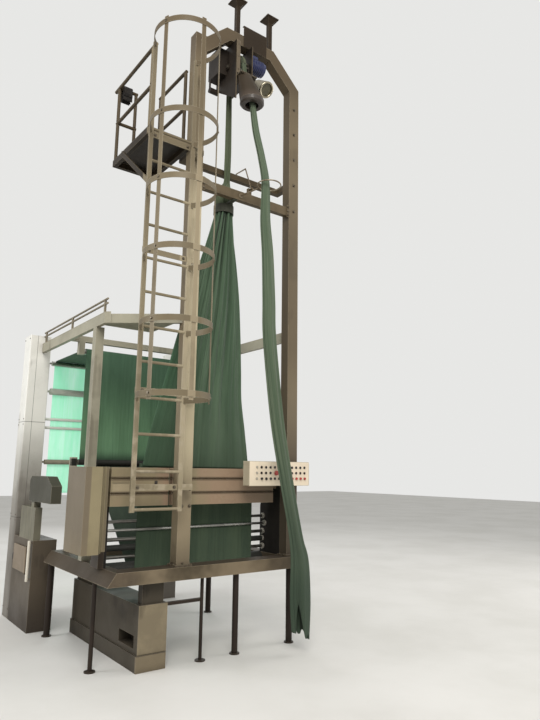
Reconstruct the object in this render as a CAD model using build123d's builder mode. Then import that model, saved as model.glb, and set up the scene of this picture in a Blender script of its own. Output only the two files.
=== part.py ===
from build123d import *
from math import asin, atan2, degrees, hypot, radians, sin, cos
import os

os.makedirs("parts", exist_ok=True)

# Tubular fabric slitting machine with its rope-opening tower. Sizes in millimetres.
# X runs across the machine to the operator's right, Y back along the line, Z up.

# Small clearances
weld_gap = 0.2
seat_gap = 0.3
running_gap = 0.05

# Base frame: a sill with a bevelled left end, two side sills and a rear cross member
sill_bottom = 682
sill_height = 105
sill_front = -60
sill_depth = 180
sill_left = -662
sill_bevel = 72
side_sill_top = 80
right_sill_width = 138
rear_cross_y = 1440
rear_cross_depth = 120

# Tower portal
tower_left = -42
tower_width = 1310
post_width = 125
post_depth = 110
arch_height = 5965
shoulder_drop = 265
crown_half = 250
stub_drop = 95
foot_plate = 12
foot_overhang = 22
bolt_radius = 9

# Ceiling stays and the folded plate over the arch
stay_left = 470
stay_right = 890
stay_size = 46
stay_length = 410
ceiling_plate = 12
ceiling_plate_size = 150
ceiling_bolt_spacing = 100
ceiling_bolt_radius = 7
crown_plate_left = 518
crown_plate_right = 815
crown_plate_rise = 120
sheet = 4

# Crossbeams of the tower
front_beam_z = 4247
front_beam_height = 93
front_beam_y = 5
front_beam_depth = 60
front_beam_wall = 8
rear_beam_y = 262
rear_beam_z = 4600
rear_beam_size = 60

# Rope guide ring and knot lever on the front crossbeam
ring_x = 655
ring_y = -300
ring_z = 4325
ring_radius = 115
ring_rod = 6.5
ring_arm_x = 530
lever_pivot_x = 640
lever_pivot_z = 4385
lever_pin_radius = 6
lever_rod = 6
lever_apex = (565, 4587)
lever_tip = (455, 4493)

# Ladder with safety cage
ladder_left = -528
ladder_pitch = 423
ladder_y = -130
ladder_bottom = 1250
ladder_top = 5430
stringer_width = 38
stringer_depth = 20
rung_radius = 12.5
rung_first = 1271
rung_spacing = 300
rung_count = 12
bracket_heights = (1420, 2205, 3420, 4500)
bracket_height = 50
bracket_thickness = 8
cage_radius = 300
cage_centre_y = -350
hoop_heights = (2145, 2735, 3333, 3930, 4530, 5380)
hoop_height = 50
hoop_thickness = 6
strap_angles = (202, 270, 338)
strap_width = 40
strap_thickness = 5

# Platform beside the head
platform_left = -500
platform_back = 820
platform_z = 4665
floor_plate = 8
platform_frame_height = 60
platform_frame_width = 40
brace_height = 44
brace_thickness = 15
brace_top_y = 560
brace_foot_z = 4085
rail_radius = 17
rail_inset = 20
rail_top = 5490
rail_knee = 5090
rail_overhang = 94
rail_front_overhang = 70
right_rail_end = 700
far_rail_end = -300
strap_length = 110
strap_drop = 130
strap_wall = 24

# Reel head hung in the arch
reel_x0 = 400
reel_x1 = 600
cheek_thickness = 8
cheek_back = 330
cheek_front = -60
cheek_low_drop = 676
cheek_high_drop = 405
reel_y = 90
reel_drop = 245
reel_radius = 110
reel_slats = 10
slat_radius = 9
slat_inset = 2
reel_disc = 6
reel_side_gap = 8
shaft_radius = 15
gear_radius = 56
gear_length = 90
motor_y = 55
motor_rise = 110
boss_radius = 30
gear_plate = 12
lamp_arm_radius = 32
lamp_arm_length = 165
motor_radius = 82
motor_length = 190
motor_fins = 7
fin_depth = 7
drive_box_x = 300
drive_box_y = 120
drive_box_drop = 35
drive_box_height = 290
drum_radius = 30
drum_drop = 110

# Funnel and turning eye under the reel
funnel_top_x = 495
funnel_top_y = -68
funnel_width = 158
funnel_depth = 148
funnel_wall = 10
eye_x = 537
eye_y = -150
eye_drop = 298
eye_radius = 122
eye_hub = 108
eye_bore = 68
eye_height = 52
flange_thickness = 12

# Work lamp beside the funnel
lamp_place = (712, -150)
lamp_rise = 200
lamp_aim = (0.12, -0.72, -0.68)
lamp_radius = 84
lamp_length = 170
lamp_back_radius = 52
lamp_rim = 7
lamp_recess = 16

# Fabric: rope over the reel, opened cone and open web
rope_width = 62
rope_depth = 46
rope_foot = 120
rope_hang_y = -330
rope_ring_shift = -42
# Shares of the way from the eye down to the ring and across and out to it, then width and depth
rope_rises = ((0.367, 0.26, 0.33, 80, 66), (0.687, 0.78, 0.67, 84, 72))
# Shares of the fall from the ring to the foot and of the way out, then shift to the right, width and depth
rope_falls = (
    (0.09, 0.33, -43, 112, 84), (0.17, 0.6, -15, 124, 86), (0.28, 1, 0, 134, 88),
    (0.35, 1, 9, 136, 90), (0.45, 1, 57, 138, 92), (0.555, 1, 121, 138, 94),
    (0.66, 1, 213, 136, 96), (0.757, 1, 307, 136, 100), (0.80, 1, 347, 150, 110),
    (0.843, 1, 385, 200, 124), (0.922, 1, 389, 225, 135), (1, 1, 387, 190, 120),
)
drop_x = 497
collar_radius = 95
collar_top = 4386
cone_ring_z = 4148
cone_ring_height = 87
cone_ring_wall = 7
cone_x = 470
cone_y = 226
cone_foot = 1640
cone_foot_left = -221
cone_foot_right = 940
cone_foot_depth = 60
# Shares of the cone's fall, its shift across and back and its spread, then its depth
cone_falls = ((0.34, 0.30, 0.29, 0.38, 176), (0.75, 0.95, 0.72, 0.74, 116))
web_y = 370
web_left = -248
web_width = 1235
web_thickness = 3
rear_web_y = 1500
rear_web_left = -396
rear_web_width = 1376
far_web_y = 2560
far_web_foot = 1300

# Slitting window: side plates and rollers
window_left = -566
window_right = 1143
side_plate = 24
side_plate_front = 230
side_plate_back = 440
side_plate_top = 1600
side_plate_shoulder = 1240
journal_radius = 12
journal_length = 22
flange_radius = 28
flange_width = 14
roller_end_gap = 2
front_roller = (1070, 12)
back_rollers = ((1140, 14), (990, 16), (920, 26), (845, 16))
turn_roller_radius = 60
turn_roller_z = 735
turn_journal_depth = 24
spreader_radius = 29
spreader_z = 1650
top_roller_radius = 30
top_roller_z = 2812

# Covers
tray_front = 115
tray_depth = 60
tray_bottom = 1285
tray_top = 1603
tray_crease_low = 1388
tray_crease_high = 1511
crease_depth = 14
crease_height = 9
tray_left = -610
tray_gap_left = -82
tray_gap_right = -46
tray_right = 1061
recess_left = -596
recess_right = -430
recess_z0 = 1398
recess_z1 = 1478
recess_depth = 10
tray_beam_height = 60
cover_left = -886
cover_front = -50
cover_back = 390
cover_bottom = 936
cover_top = 1605
cover_facet = 50
case_left = -690
case_step = -636
case_front = 100

# Control panel
panel_left = 607
panel_right = 1322
panel_front = -120
panel_depth = 96
panel_bottom = 1450
panel_height = 225
panel_corner = 8
button_first_x = 694
button_pitch = 51.7
row_pitch = 52
row_top = 1620
lamp_button_radius = 12
lamp_button_height = 9
cap_radius = 12
cap_height = 10
button_travel = 4
stem_radius = 8
stem_depth = 24
e_stop_x = 914
e_stop_radius = 21
e_stop_height = 16

# Rear frame, end columns and the pieces on the left
beam_left = -600
beam_width = 42
beam_z = 2905
beam_height = 105
tie_front_y = 509
tie_height = 85
tie_width = 30
post2_y = 704
post2_size = 80
rod_radius = 10
rod_heights = (3096, 3139)
rear_upright_gap = 30
hanger_bottom = 2770
stand_top = 1700
rear_upright_size = 60
column_left = -735
column_width = 235
column_y = 2400
column_depth = 240
column_height = 3100
right_column_left = 1060
right_column_width = 208
far_roller_mid = (2475, 38)
far_roller_low = (1655, 28)
guide_rod_heights = (2150, 2050)
guide_rod_radius = 16
far_journal_length = 60
far_journal_depth = 30
cabinet_front = 1700
cabinet_height = 870
door_y0 = 1880
door_y1 = 2315
door_drop = 80
door_height = 250
door_thickness = 12
door_gap = 4
hinge_radius = 8
hinge_pin = 4
lug_height = 14
tube_radius = 15
tube_stand = 12
tube_length = 390
guard_panel_y0 = 1710
guard_panel_y1 = 2210
guard_panel_height = 320
guard_panel_x = 70
gear_block_y0 = 1243
gear_block_y1 = 1970
gear_block_rise = 380
gear_block_height = 255
gear_block_x = 100

# Floor box, legs
box_left = -350
box_width = 255
box_front = 20
box_height = 505
box_back = 1540
plinth_height = 127
plinth_step = 14
port_y0 = 93
port_y1 = 392
port_z0 = 165
port_z1 = 265
port_depth = 120
spacer_width = 190
leg_foot_radius = 45
leg_foot_height = 10
leg_places = ((230, 20, 15), (580, 20, 27), (-640, 255, 18), (1200, 30, 30), (1200, 1500, 30), (-600, 1500, 30))
cross_bar_height = 26

# Derived places
sill_top = sill_bottom + sill_height
sill_back = sill_front + sill_depth
tower_right = tower_left + tower_width
tower_mid = (tower_left + tower_right) / 2
post_foot = sill_top + foot_plate
rear_cross_back = rear_cross_y + rear_cross_depth
side_sill_inner = sill_left + sill_bevel + side_sill_top
sill_right = tower_right
right_sill_inner = sill_right - right_sill_width
crown_top = arch_height + post_width
shoulder_height = arch_height - shoulder_drop
stub_height = arch_height - stub_drop
crown_plate_top = crown_top + crown_plate_rise
ceiling_height = crown_top + stay_length
cheek_low = arch_height - cheek_low_drop
cheek_high = arch_height - cheek_high_drop
reel_z = arch_height - reel_drop
motor_z = reel_z + motor_rise
drive_box_z1 = arch_height - drive_box_drop
drive_box_z0 = drive_box_z1 - drive_box_height
drum_z = drive_box_z0 - drum_drop
eye_z = cheek_high - eye_drop
lamp_centre = (*lamp_place, eye_z + lamp_rise)
door_z1 = cabinet_height - door_drop
door_z0 = door_z1 - door_height
tube_foot = cabinet_height - tube_length
guard_panel_top = cabinet_height + guard_panel_height
gear_block_z0 = cabinet_height + gear_block_rise
gear_block_z1 = gear_block_z0 + gear_block_height
ladder_mid = ladder_left + ladder_pitch / 2
ladder_right = ladder_left + ladder_pitch
stringer_front = ladder_y - stringer_depth / 2
stringer_back = ladder_y + stringer_depth / 2
column_back = column_y + column_depth
panel_back = panel_front + panel_depth
web_right = web_left + web_width
web_mid = web_left + web_width / 2
cage_front = cage_centre_y - cage_radius
centre_x = (cover_left + panel_right) / 2
centre_y = (cage_front + column_back) / 2
ground = Plane(origin=(-centre_x, -centre_y, 0))


def level(z):
    """Horizontal plane at height z."""
    return ground.offset(z)


def front(y):
    """Upright plane at depth y as the operator sees it: X to the right, Z up."""
    return Plane(origin=(-centre_x, y - centre_y, 0), x_dir=(1, 0, 0), z_dir=(0, -1, 0))


def side(x):
    """Upright plane at x, facing +X: Y to the right, Z up."""
    return Plane(origin=(x - centre_x, -centre_y, 0), x_dir=(0, 1, 0), z_dir=(1, 0, 0))


def block(x0, x1, y0, y1, z0, z1, mode=Mode.ADD):
    """A straight-sided bar or plate between two corners."""
    with BuildSketch(level(z0)) as profile:
        with Locations(((x0 + x1) / 2, (y0 + y1) / 2)):
            Rectangle(x1 - x0, y1 - y0)
    extrude(profile.sketch, amount=z1 - z0, mode=mode)


def shape(plane, points, amount, mode=Mode.ADD):
    """Extrudes the outline through these points from a plane."""
    with BuildSketch(plane) as profile:
        with BuildLine():
            Polyline(*points, close=True)
        make_face()
    extrude(profile.sketch, amount=amount, mode=mode)


def disc(plane, place, radius, amount, mode=Mode.ADD):
    """Extrudes a circle at a place of a plane."""
    with BuildSketch(plane) as profile:
        with Locations(place):
            Circle(radius)
    extrude(profile.sketch, amount=amount, mode=mode)


def rod(start, end, radius):
    """A round bar between two points."""
    a = Vector(*start)
    b = Vector(*end)
    with BuildSketch(Plane(origin=ground.from_local_coords(a), z_dir=(b - a).normalized())) as profile:
        Circle(radius)
    extrude(profile.sketch, amount=(b - a).length)


def drape(sections):
    """Gathered fabric: ellipses at falling heights (x, y, z, width, depth), joined straight."""
    rings = []
    for x, y, z, width, depth in sections:
        with BuildSketch(level(z)) as ring:
            with Locations((x, y)):
                Ellipse(width / 2, depth / 2)
        rings.append(ring.sketch)
    loft(rings, ruled=True)


def shifted(points, distance):
    """A line of points moved sideways by a distance, with mitred corners."""
    runs = [(Vector(*b) - Vector(*a)).normalized() for a, b in zip(points, points[1:])]
    normals = [Vector(-run.Y, run.X) for run in runs]
    moved = []
    for i, point in enumerate(points):
        before = normals[max(i - 1, 0)]
        after = normals[min(i, len(normals) - 1)]
        moved.append(Vector(*point) + (before + after) * (distance / (1 + before.dot(after))))
    return [(corner.X, corner.Y) for corner in moved]


def bar_outline(points, width):
    """Closed outline of a bent bar whose one edge follows the points."""
    return list(points) + shifted(points, width)[::-1]


def journal_of(radius):
    """Radius of the journal that a roller of this radius is turned down to."""
    return min(journal_radius, radius - 3)


def finish(part, name):
    """Labels a piece and writes it as a STEP file."""
    part.label = name
    export_step(part, f"parts/{name}.step")


# Base frame, one welded ring that stands on the floor box and the legs
with BuildPart() as base_frame:
    shape(
        front(sill_back),
        (
            (sill_left, sill_bottom),
            (sill_right, sill_bottom),
            (sill_right, sill_top),
            (sill_left + sill_bevel, sill_top),
        ),
        sill_depth,
    )
    shape(
        front(rear_cross_back),
        (
            (sill_left, sill_bottom),
            (side_sill_inner, sill_bottom),
            (side_sill_inner, sill_top),
            (sill_left + sill_bevel, sill_top),
        ),
        rear_cross_back - sill_back,
    )
    block(right_sill_inner, sill_right, sill_back, rear_cross_back, sill_bottom, sill_top)
    block(side_sill_inner, right_sill_inner, rear_cross_y, rear_cross_back, sill_bottom, sill_top)
    turn_y = web_y + web_thickness / 2 + seat_gap + turn_roller_radius
    for x, amount in ((side_sill_inner, -turn_journal_depth - 2), (right_sill_inner, turn_journal_depth + 2)):
        disc(side(x), (turn_y, turn_roller_z), journal_radius + running_gap, amount, Mode.SUBTRACT)
base_frame.part.label = "base_frame"
export_step(base_frame.part, "parts/base_frame.step")

# Floor box under the left of the sill, on a wider plinth, with a service port in its side
with BuildPart() as floor_box:
    block(box_left, box_left + box_width, box_front, box_back, 0, box_height)
    block(
        box_left - plinth_step, box_left + box_width - plinth_step / 2,
        box_front - plinth_step, box_back, 0, plinth_height,
    )
    shape(
        side(box_left - 1),
        ((port_y0, port_z0), (port_y1, port_z0), (port_y1, port_z1), (port_y0, port_z1)),
        port_depth,
        Mode.SUBTRACT,
    )
    box_mid = box_left + box_width / 2
    for y0, y1 in ((box_front + 20, sill_back), (rear_cross_y, box_back)):
        block(box_mid - spacer_width / 2, box_mid + spacer_width / 2, y0, y1, box_height, sill_bottom)
floor_box.part.label = "floor_box"
export_step(floor_box.part, "parts/floor_box.step")

# Pipe legs with round feet, and the bar from the floor box to the first leg
with BuildPart() as support_legs:
    for x, y, radius in leg_places:
        disc(level(0), (x, y), leg_foot_radius, leg_foot_height)
        disc(level(leg_foot_height), (x, y), radius, sill_bottom - leg_foot_height)
    block(
        box_left + box_width, leg_places[0][0], box_front, box_front + 2 * leg_places[0][2],
        box_height - cross_bar_height, box_height,
    )
support_legs.part.label = "support_legs"
export_step(support_legs.part, "parts/support_legs.step")

# Foot plates of the two tower posts, bolted through to the sill
with BuildPart() as foot_plates:
    for x in (tower_left, tower_right - post_width):
        block(x - foot_overhang, x + post_width + foot_overhang, -foot_overhang, sill_back, sill_top, post_foot)
        for bolt_x in (x - foot_overhang / 2, x + post_width + foot_overhang / 2):
            for bolt_y in (foot_overhang, post_depth - foot_overhang):
                with BuildSketch(level(post_foot)):
                    with Locations((bolt_x, bolt_y)):
                        RegularPolygon(bolt_radius, 6)
                extrude(amount=bolt_radius)
    edges = foot_plates.edges().filter_by(Axis.Z).group_by(Axis.Y)[0]
    fillet(edges, bolt_radius)
foot_plates.part.label = "foot_plates"
export_step(foot_plates.part, "parts/foot_plates.step")

# Tower portal: two posts, chamfered shoulders and the crown, one bent ring of box section
inner_line = [
    (tower_right - post_width, post_foot),
    (tower_right - post_width, shoulder_height),
    (tower_mid + crown_half, arch_height),
    (tower_mid - crown_half, arch_height),
    (tower_left + post_width, shoulder_height),
    (tower_left + post_width, post_foot),
]
with BuildPart() as tower_portal:
    shape(front(post_depth), bar_outline(inner_line, -post_width), post_depth)
    block(tower_left, tower_left + post_width, 0, post_depth, shoulder_height, stub_height)
tower_portal.part.label = "tower_portal"
export_step(tower_portal.part, "parts/tower_portal.step")

# Folded plate on the front of the crown
with BuildPart() as crown_plate:
    shape(
        side(crown_plate_left),
        bar_outline(
            [(0, arch_height), (0, crown_plate_top - sheet), (stay_size / 2, crown_plate_top - sheet)], sheet
        ),
        crown_plate_right - crown_plate_left,
    )
crown_plate.part.label = "crown_plate"
export_step(crown_plate.part, "parts/crown_plate.step")

# Ceiling stays with flared heads
with BuildPart() as ceiling_stays:
    for x in (stay_left, stay_right):
        with BuildSketch(level(crown_top)):
            with Locations((x, post_depth / 2)):
                Rectangle(stay_size, stay_size)
        extrude(amount=ceiling_height - ceiling_plate - crown_top)
        with BuildSketch(level(ceiling_height - ceiling_plate - stay_size)):
            with Locations((x, post_depth / 2)):
                Rectangle(stay_size, stay_size)
        with BuildSketch(level(ceiling_height - ceiling_plate)):
            with Locations((x, post_depth / 2)):
                Rectangle(ceiling_plate_size - stay_size / 2, ceiling_plate_size - stay_size / 2)
        loft()
        with BuildSketch(level(ceiling_height - ceiling_plate)):
            with Locations((x, post_depth / 2)):
                Rectangle(ceiling_plate_size, ceiling_plate_size)
                with Locations((0, ceiling_bolt_spacing / 2), (0, -ceiling_bolt_spacing / 2)):
                    Circle(ceiling_bolt_radius, mode=Mode.SUBTRACT)
        extrude(amount=ceiling_plate)
ceiling_stays.part.label = "ceiling_stays"
export_step(ceiling_stays.part, "parts/ceiling_stays.step")

# Front crossbeam: a channel open to the back, with end cleats and the lever's bearing lug
with BuildPart() as front_crossbeam:
    beam_x0 = tower_left + post_width
    beam_x1 = tower_right - post_width
    beam_top = front_beam_z + front_beam_height
    block(beam_x0, beam_x1, front_beam_y, front_beam_y + front_beam_depth, front_beam_z, beam_top)
    block(
        beam_x0 + front_beam_wall, beam_x1 - front_beam_wall,
        front_beam_y + front_beam_wall, front_beam_y + front_beam_depth,
        front_beam_z + front_beam_wall, beam_top - front_beam_wall, Mode.SUBTRACT,
    )
    for x0, x1 in ((beam_x0, beam_x0 + 30), (beam_x1 - 30, beam_x1)):
        block(x0, x1, front_beam_y - 10, front_beam_y, front_beam_z - 20, beam_top + 20)
    block(
        lever_pivot_x - 20, lever_pivot_x + 20, front_beam_y, front_beam_y + 30,
        beam_top, lever_pivot_z + 20,
    )
    disc(front(front_beam_y), (lever_pivot_x, lever_pivot_z), lever_pin_radius, 50)
    disc(front(front_beam_y - 44), (lever_pivot_x, lever_pivot_z), lever_pin_radius + 4, 6)
front_crossbeam.part.label = "front_crossbeam"
export_step(front_crossbeam.part, "parts/front_crossbeam.step")

# Rear crossbeam behind the drop rope, on arms from the posts
with BuildPart() as rear_crossbeam:
    rear_x0 = tower_left + (post_width - rear_beam_size) / 2
    rear_x1 = tower_right - (post_width - rear_beam_size) / 2
    rear_top = rear_beam_z + rear_beam_size
    block(rear_x0, rear_x1, rear_beam_y, rear_beam_y + rear_beam_size, rear_beam_z, rear_top)
    for x0 in (rear_x0, rear_x1 - rear_beam_size):
        block(x0, x0 + rear_beam_size, post_depth, rear_beam_y, rear_beam_z, rear_top)
rear_crossbeam.part.label = "rear_crossbeam"
export_step(rear_crossbeam.part, "parts/rear_crossbeam.step")

# Guide ring for the infeed rope, on a rod from the crossbeam
with BuildPart() as ring_guide:
    with BuildSketch(Plane(origin=ground.from_local_coords((ring_x, ring_y, ring_z)), x_dir=(1, 0, 0), z_dir=(0, -1, 0))):
        with Locations((ring_radius, 0)):
            Circle(ring_rod)
    revolve(axis=Axis(ground.from_local_coords(Vector(ring_x, ring_y, ring_z)), (0, 0, 1)))
    arm_z = front_beam_z + front_beam_height / 2
    reach = atan2(front_beam_y - ring_y, ring_arm_x - ring_x)
    ring_touch = (ring_x + ring_radius * cos(reach), ring_y + ring_radius * sin(reach), ring_z)
    rod((ring_arm_x, front_beam_y - 8, arm_z), ring_touch, ring_rod + 1)
    disc(front(front_beam_y), (ring_arm_x, arm_z), 24, 8)
ring_guide.part.label = "ring_guide"
export_step(ring_guide.part, "parts/ring_guide.step")

# Knot lever, a bent rod on a hub that turns on the pin of the crossbeam
with BuildPart() as knot_lever:
    hub_front = front_beam_y - 40
    disc(front(hub_front + 36), (lever_pivot_x, lever_pivot_z), 14, 36)
    with BuildLine(front(hub_front + 18)) as lever_line:
        Polyline((lever_pivot_x, lever_pivot_z + 10), lever_apex, lever_tip)
    with BuildSketch(Plane(origin=lever_line.line @ 0, z_dir=lever_line.line % 0)):
        Circle(lever_rod)
    sweep(transition=Transition.RIGHT)
    disc(front(hub_front + 36), (lever_pivot_x, lever_pivot_z), lever_pin_radius + running_gap, 36, Mode.SUBTRACT)
knot_lever.part.label = "knot_lever"
export_step(knot_lever.part, "parts/knot_lever.step")

# Ladder: flat stringers, round rungs welded between them, and arms to the left post
with BuildPart() as ladder:
    for x in (ladder_left, ladder_right):
        block(
            x - stringer_width / 2, x + stringer_width / 2, stringer_front, stringer_back,
            ladder_bottom, ladder_top,
        )
    rung_x0 = ladder_left + stringer_width / 2 + weld_gap
    rung_length = ladder_pitch - stringer_width - 2 * weld_gap
    for k in range(rung_count):
        disc(side(rung_x0), (ladder_y, rung_first + k * rung_spacing), rung_radius, rung_length)
    arm_right = tower_left + post_width / 2
    for z in bracket_heights:
        y1 = stringer_back + weld_gap + bracket_thickness
        block(
            ladder_left - stringer_width / 2, arm_right, stringer_back + weld_gap, y1,
            z, z + bracket_height,
        )
        block(arm_right - bracket_height, arm_right, y1 + weld_gap, -weld_gap, z, z + bracket_height)
ladder.part.label = "ladder"
export_step(ladder.part, "parts/ladder.step")

# Safety cage: flat hoops from stringer to stringer and upright straps inside them
with BuildPart() as ladder_cage:
    for z in hoop_heights:
        with BuildSketch(level(z)):
            with Locations((ladder_mid, cage_centre_y)):
                Circle(cage_radius)
                Circle(cage_radius - hoop_thickness, mode=Mode.SUBTRACT)
            with Locations((ladder_mid, stringer_front - weld_gap + cage_radius)):
                Rectangle(2 * cage_radius, 2 * cage_radius, mode=Mode.SUBTRACT)
        extrude(amount=hoop_height)
    strap_reach = ((cage_radius - hoop_thickness) ** 2 - (strap_width / 2) ** 2) ** 0.5
    strap_centre = strap_reach - strap_thickness / 2 - weld_gap
    for angle in strap_angles:
        with BuildSketch(level(hoop_heights[0] - hoop_height / 2)):
            x = ladder_mid + strap_centre * cos(radians(angle))
            y = cage_centre_y + strap_centre * sin(radians(angle))
            with Locations(Location((x, y), angle)):
                Rectangle(strap_thickness, strap_width)
        extrude(amount=hoop_heights[-1] + hoop_height * 2 - hoop_heights[0])
ladder_cage.part.label = "ladder_cage"
export_step(ladder_cage.part, "parts/ladder_cage.step")

# Platform floor of chequer plate
with BuildPart() as platform_floor:
    block(platform_left, tower_left, 0, platform_back, platform_z, platform_z + floor_plate)
platform_floor.part.label = "platform_floor"
export_step(platform_floor.part, "parts/platform_floor.step")

# Platform frame: edge bars under the floor and a brace down to the ladder
with BuildPart() as platform_frame:
    frame_z = platform_z - platform_frame_height
    block(platform_left, tower_left, 0, platform_back, frame_z, platform_z)
    block(
        platform_left + platform_frame_width, tower_left - platform_frame_width,
        platform_frame_width, platform_back - platform_frame_width,
        frame_z, platform_z, Mode.SUBTRACT,
    )
    brace_line = [(brace_top_y, platform_z), (stringer_back + seat_gap, brace_foot_z)]
    shape(side(platform_left - brace_thickness), bar_outline(brace_line, brace_height), brace_thickness)
platform_frame.part.label = "platform_frame"
export_step(platform_frame.part, "parts/platform_frame.step")

# Guard rails of the platform: posts on the floor, top and knee rails between them
with BuildPart() as platform_rails:
    floor_top = platform_z + floor_plate
    rail_x0 = platform_left + rail_inset
    rail_x1 = tower_left - rail_inset
    rail_y0 = rail_inset
    rail_y1 = platform_back - rail_inset
    right_y0 = post_depth + 2 * rail_inset
    post_places = (
        (rail_x0, rail_y0), (rail_x0, rail_y1), (rail_x1, right_y0),
        (rail_x1, right_rail_end), (far_rail_end, rail_y1),
    )
    post_top = rail_top - rail_radius - weld_gap
    for x, y in post_places:
        disc(level(floor_top), (x, y), rail_radius, rail_knee - rail_radius - weld_gap - floor_top)
        disc(level(rail_knee + rail_radius + weld_gap), (x, y), rail_radius, post_top - rail_knee - rail_radius - weld_gap)
    rail_runs = ((rail_knee, rail_radius, rail_radius), (rail_top, rail_front_overhang, rail_overhang))
    for z, ahead, behind in rail_runs:
        rod((rail_x0, rail_y0 - ahead, z), (rail_x0, rail_y1 + behind, z), rail_radius)
        rod((rail_x1, right_y0 - rail_radius, z), (rail_x1, right_rail_end + rail_radius, z), rail_radius)
        rod((rail_x0 + rail_radius + weld_gap, rail_y1, z), (far_rail_end + rail_radius, rail_y1, z), rail_radius)
platform_rails.part.label = "platform_rails"
export_step(platform_rails.part, "parts/platform_rails.step")

# Folded straps hung over the far rail
with BuildPart() as hung_strap:
    strap_x = rail_x0 + rail_radius + 8
    inner = rail_radius + seat_gap
    outer = inner + strap_wall
    with BuildSketch(side(strap_x)):
        with BuildLine():
            CenterArc((rail_y1, rail_top), outer, 0, 180)
            Line((rail_y1 - outer, rail_top), (rail_y1 - outer, rail_top - strap_drop))
            Line((rail_y1 - outer, rail_top - strap_drop), (rail_y1 - inner, rail_top - strap_drop))
            Line((rail_y1 - inner, rail_top - strap_drop), (rail_y1 - inner, rail_top))
            CenterArc((rail_y1, rail_top), inner, 0, 180)
            Line((rail_y1 + inner, rail_top), (rail_y1 + inner, rail_top - strap_drop))
            Line((rail_y1 + inner, rail_top - strap_drop), (rail_y1 + outer, rail_top - strap_drop))
            Line((rail_y1 + outer, rail_top - strap_drop), (rail_y1 + outer, rail_top))
        make_face()
    extrude(amount=strap_length)
hung_strap.part.label = "hung_strap"
export_step(hung_strap.part, "parts/hung_strap.step")

# Cheeks that hang from the crown and carry the reel shaft
with BuildPart() as reel_cheeks:
    shape(
        side(reel_x0),
        ((cheek_front, arch_height), (cheek_back, arch_height), (cheek_back, cheek_high), (cheek_front, cheek_low)),
        cheek_thickness,
    )
    shape(
        side(reel_x1 - cheek_thickness),
        ((cheek_front, arch_height), (cheek_back, arch_height), (cheek_back, cheek_high), (cheek_front, cheek_high)),
        cheek_thickness,
    )
    fillet(reel_cheeks.edges().filter_by(Axis.X).group_by(Axis.Z)[-1], 4)
    disc(side(reel_x0 - 14), (reel_y, reel_z), shaft_radius + 16, 14)
    disc(
        side(reel_x0 - 20), (reel_y, reel_z), shaft_radius + running_gap,
        reel_x1 - reel_x0 + 40, Mode.SUBTRACT,
    )
    for y, z in ((reel_y, cheek_high + 16), (cheek_back - 16, arch_height - 16)):
        disc(side(reel_x0 + cheek_thickness), (y, z), 10, reel_x1 - reel_x0 - 2 * cheek_thickness)
    block(drive_box_x, reel_x0, drive_box_y, cheek_back, drive_box_z0, drive_box_z1)
    drum_y = cheek_back - drum_radius
    disc(side(drive_box_x), (drum_y, drum_z), drum_radius, reel_x0 - drive_box_x)
    block(
        drive_box_x, drive_box_x + cheek_thickness, drum_y - drum_radius / 2, drum_y + drum_radius / 2,
        drum_z, drive_box_z0,
    )
reel_cheeks.part.label = "reel_cheeks"
export_step(reel_cheeks.part, "parts/reel_cheeks.step")

# Drive reel: a shaft with two discs and a ring of round slats
with BuildPart() as drive_reel:
    reel_start = reel_x0 + cheek_thickness + reel_side_gap
    reel_length = reel_x1 - reel_x0 - 2 * (cheek_thickness + reel_side_gap)
    disc(side(reel_x0 - 24), (reel_y, reel_z), shaft_radius, reel_x1 - reel_x0 + 24 + gear_length / 2)
    for x in (reel_start, reel_start + reel_length - reel_disc):
        disc(side(x), (reel_y, reel_z), reel_radius, reel_disc)
    with BuildSketch(side(reel_start)):
        with Locations((reel_y, reel_z)):
            with PolarLocations(reel_radius - slat_radius - slat_inset, reel_slats):
                Circle(slat_radius)
    extrude(amount=reel_length)
drive_reel.part.label = "drive_reel"
export_step(drive_reel.part, "parts/drive_reel.step")

# Gear housing on the right cheek: a cover plate over both axes, the shaft boss and the lamp arm
aim = Vector(*lamp_aim).normalized()
lamp_front = ground.from_local_coords(Vector(*lamp_centre))
lamp_back = lamp_front - aim * lamp_length
gear_x = reel_x1 + weld_gap
with BuildPart() as gear_housing:
    with BuildSketch(side(gear_x)):
        with Locations((reel_y, reel_z)):
            Circle(gear_radius)
        with Locations((motor_y, motor_z)):
            Circle(motor_radius)
        make_hull()
    extrude(amount=gear_plate)
    disc(side(gear_x), (reel_y, reel_z), boss_radius, gear_length)
    with BuildSketch(Plane(origin=lamp_back - aim * weld_gap, z_dir=-aim)):
        Circle(lamp_arm_radius)
    extrude(amount=lamp_arm_length)
    disc(side(gear_x - 1), (reel_y, reel_z), shaft_radius + running_gap, gear_length / 2 + 2, Mode.SUBTRACT)
gear_housing.part.label = "gear_housing"
export_step(gear_housing.part, "parts/gear_housing.step")

# Blue geared motor with cooling fins and an end cap
with BuildPart() as reel_motor:
    motor_x = gear_x + gear_plate + weld_gap
    disc(side(motor_x), (motor_y, motor_z), motor_radius - fin_depth, motor_length)
    fin_pitch = (motor_length - 40) / motor_fins
    for k in range(motor_fins):
        disc(side(motor_x + 20 + k * fin_pitch), (motor_y, motor_z), motor_radius, fin_pitch / 2)
    disc(side(motor_x), (motor_y, motor_z), motor_radius, 12)
    block(
        motor_x + 30, motor_x + 110, motor_y - 35, motor_y + 35,
        motor_z + motor_radius - 12, motor_z + motor_radius + 26,
    )
reel_motor.part.label = "reel_motor"
export_step(reel_motor.part, "parts/reel_motor.step")

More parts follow.
